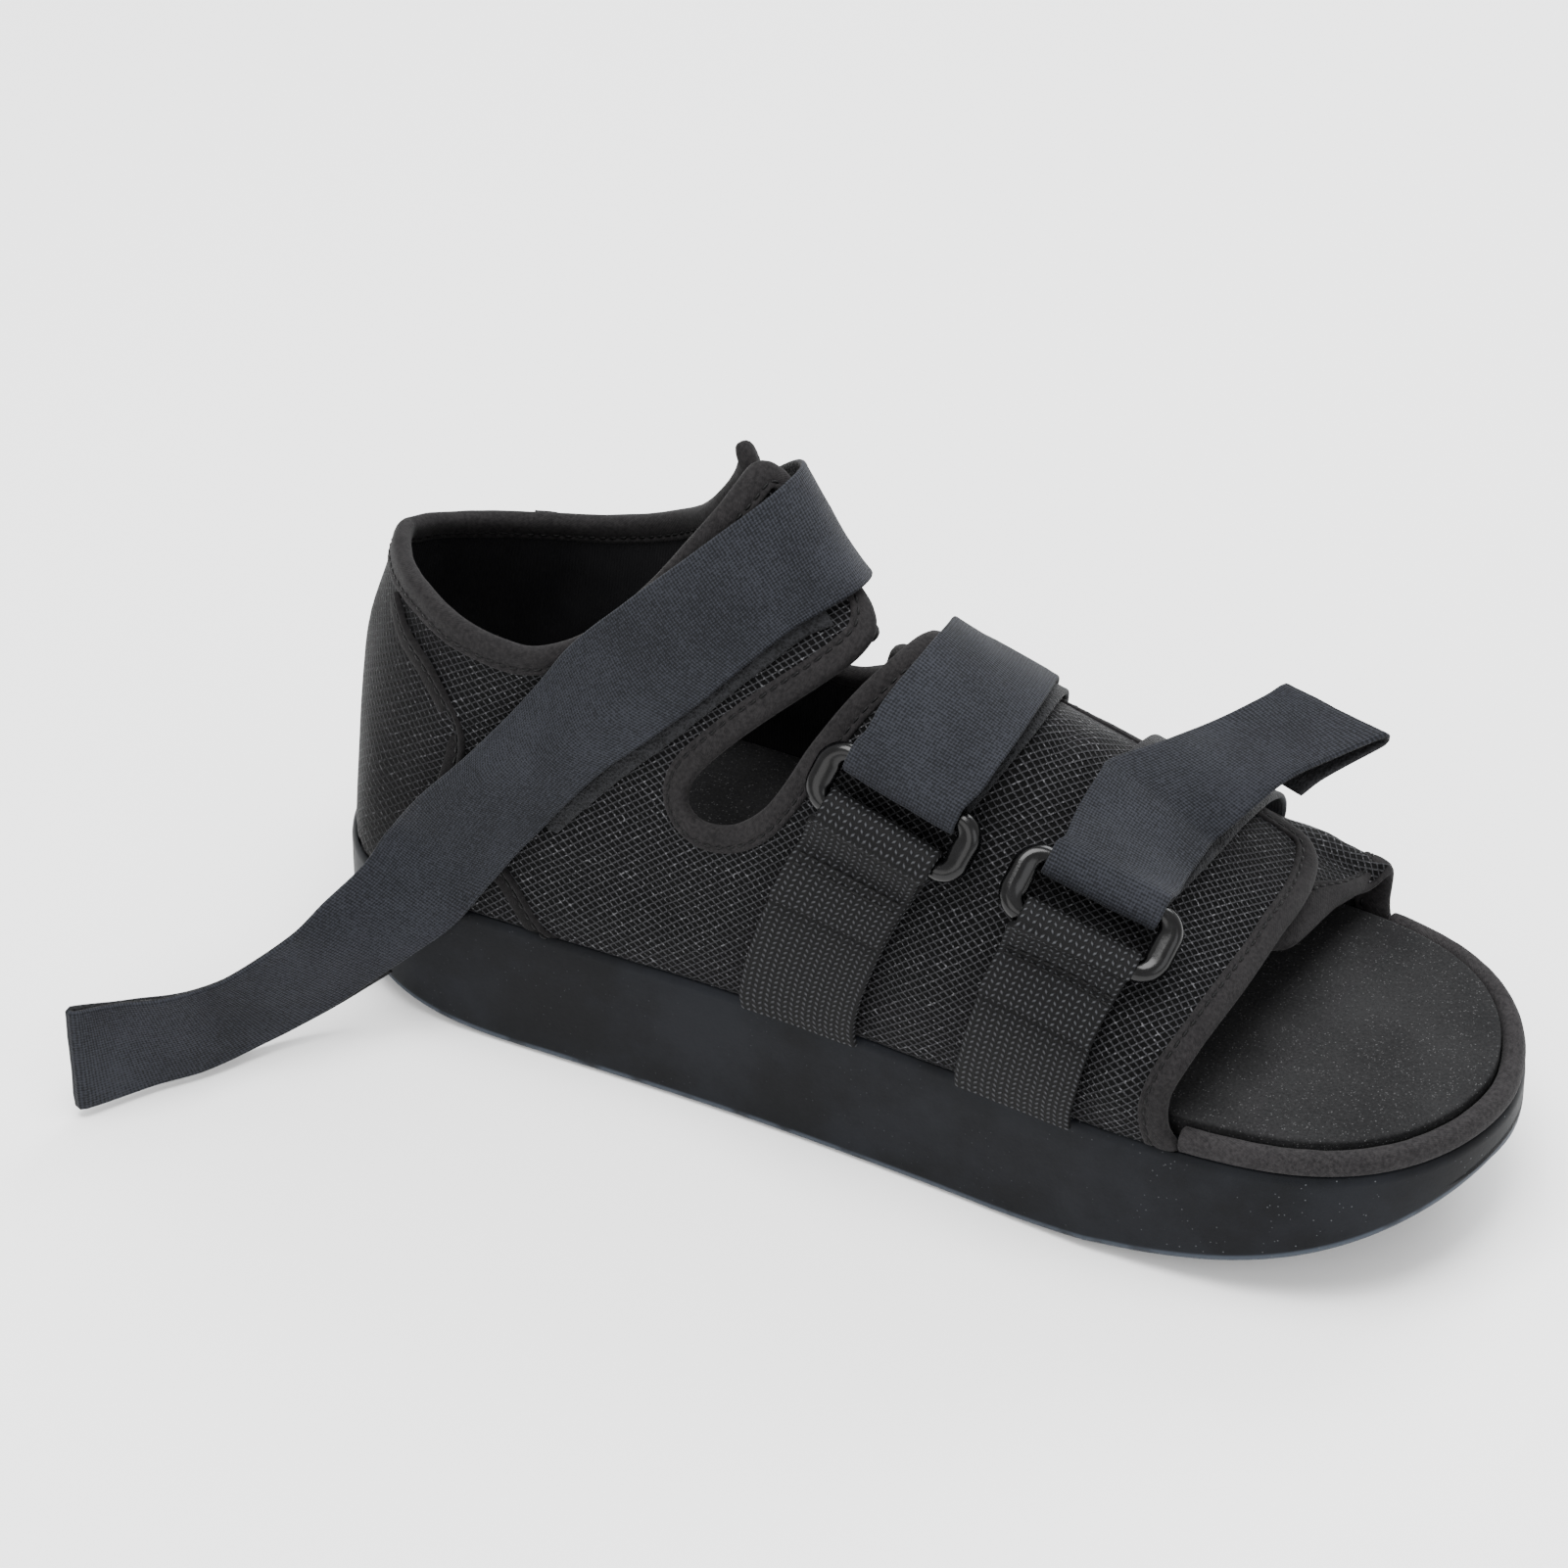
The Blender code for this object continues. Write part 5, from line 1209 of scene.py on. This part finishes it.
def through_ring(path, off, thick, count, back_to, steps, seat, side, slide=0.0, seam=None):
    """Rows up to the ring, round its bar and back over the first layer to back_to. The
    first layer lies slide degrees nearer the toe, so that its edge shows. A seam draws the
    second layer down at that row."""
    last = len(path) - 1
    up, ahead = seat["up"], -seat["rise"] * side
    radius = BAR_ROOM + thick / 2
    bar_middle = seat["centre"] + seat["rise"] * seat["tall"] * side
    bar = straight_row(bar_middle - seat["along"] * seat["half"], bar_middle + seat["along"] * seat["half"])
    end = bar - up * radius
    slid, row_at = np.array(path), np.arange(last + 1)
    slid[:, (0, 2)] -= slide * np.clip(np.minimum(row_at / 2, (last - row_at) / 2), 0, 1)[:, None]
    rows = [across(slid, s, off) for s in np.linspace(0, last, count)]
    rows[-1] = end
    rows[-2] = 0.65 * flattened(rows[-2], up, 0.5) + 0.35 * rows[-3]
    rows += fold(end, ahead, up, radius)
    rows.append(rows[-1] - ahead * radius)
    for k in range(1, steps + 1):
        t = (k + 0.4) / (steps + 0.4)
        lift = off + 2 * radius + (thick + LAYER_GAP - 2 * radius) * eased((1.6 if seam is None else 2.4) * t)
        if k == seam:
            lift -= SEAM_DRAW
        rows.append(flattened(across(path, last + (back_to - last) * t, lift), up, max(0.0, 1 - 3 * t)))
    return rows


rows = through_ring(MIDFOOT_PATH, STRAP_OFF, STRAP_THICK, STRAP_ROWS, 2.4, 13, midfoot_seat, 1, 1.3)
strap = band("midfoot_tape", rows, STRAP_THICK, (woven_finish, pile_finish), 5.0)[0]
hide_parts("midfoot_strap")


# Forefoot strap: the same tape, through its ring and back to the ridge, where its free end
# stands off to the far side with the hook tab folded under.
STRAP_WIDTH, FOREFOOT_HOOK_TAB = 30.0, 18.0
FOREFOOT_TAIL = np.array((
    # left edge along, across and up from the ridge, then the right edge, in strap widths
    (0.25, 0.47, -0.05, 0.22, 0.30, 0.23), (0.40, 0.87, -0.13, 0.39, 0.53, 0.37),
    (0.69, 1.27, -0.04, 0.60, 0.77, 0.45), (0.78, 1.40, 0.01, 0.86, 1.10, 0.51),
))
rows = through_ring(FOREFOOT_PATH, STRAP_OFF, STRAP_THICK, STRAP_ROWS, 5.0, 6, forefoot_seat, 1, 1.1)
left, right = rows[-1][0], rows[-1][-1]
rows += [straight_row(left + spot[:3] * STRAP_WIDTH, right + spot[3:] * STRAP_WIDTH) for spot in FOREFOOT_TAIL]
up = facing(rows[-1], rows[-2])[0]
rows = tucked(rows, up if up[2] < 0 else -up, FOREFOOT_HOOK_TAB, 2, STRAP_THICK, 0.75)
strap = band("forefoot_tape", rows, STRAP_THICK, (woven_finish, pile_finish), 7.0)[0]
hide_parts("forefoot_strap")


# Webbing tabs: coarse plaited webbing sewn in at the sole, up round the ring's lower bar and
# stitched down on itself.
WEAVE, TAB_SEAMS, TAB_ROWS = 1.5, (10, 12), 8
plait = Finish("plaited_webbing", gloss=0.14)
lane = plait.cloth.part("X") / WEAVE
pick = plait.cloth.part("Y") / WEAVE
chevron = 0.55 * lane.math("PINGPONG", 1.0)
strands = (pick + chevron).math("PINGPONG", 0.5)
gaps = lane.math("PINGPONG", 0.5)
plump = (strands * 2.0).ramp(0.30, 0.95) * (gaps * 2.0).ramp(0.25, 0.80)
fibre = plait.at.noise(0.35, 2.0)
plait_tone = (plump * 0.8 + fibre * 0.35).ramp(0.15, 1.0)
plait_colour = plait_tone.mix((0.0008, 0.0008, 0.0010), (0.0400, 0.0410, 0.0450))
plait_finish = plait.paint(plait_colour, 0.62 + 0.2 * fibre, plump + 0.2 * fibre, 0.45)


def webbing_tab(name, node, table, seat, seed):
    """Tab with its ring end folded over the bar. Returns the lines of its stitches across."""
    rows = through_ring(table, TAB_OFF, WEBBING_THICK, TAB_ROWS, len(table) - 2.0, 10, seat, -1, seam=4)
    tab, middle, out = band(name, rows, WEBBING_THICK, (plait_finish, plait_finish), seed, wave=0.1)
    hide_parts(node)
    top = out if out[-1, 8] @ seat["up"] > 0 else -out
    return [(middle[-k, 1:-1] + top[-k, 1:-1] * (WEBBING_THICK / 2 + 0.05), top[-k, 1:-1]) for k in TAB_SEAMS]


tab_lines = webbing_tab("midfoot_webbing", "midfoot_tab", MIDFOOT_TAB, midfoot_seat, 9.0)
tab_lines += webbing_tab("forefoot_webbing", "forefoot_tab", FOREFOOT_TAB, forefoot_seat, 11.0)
stitched("tab_stitches", tab_lines)
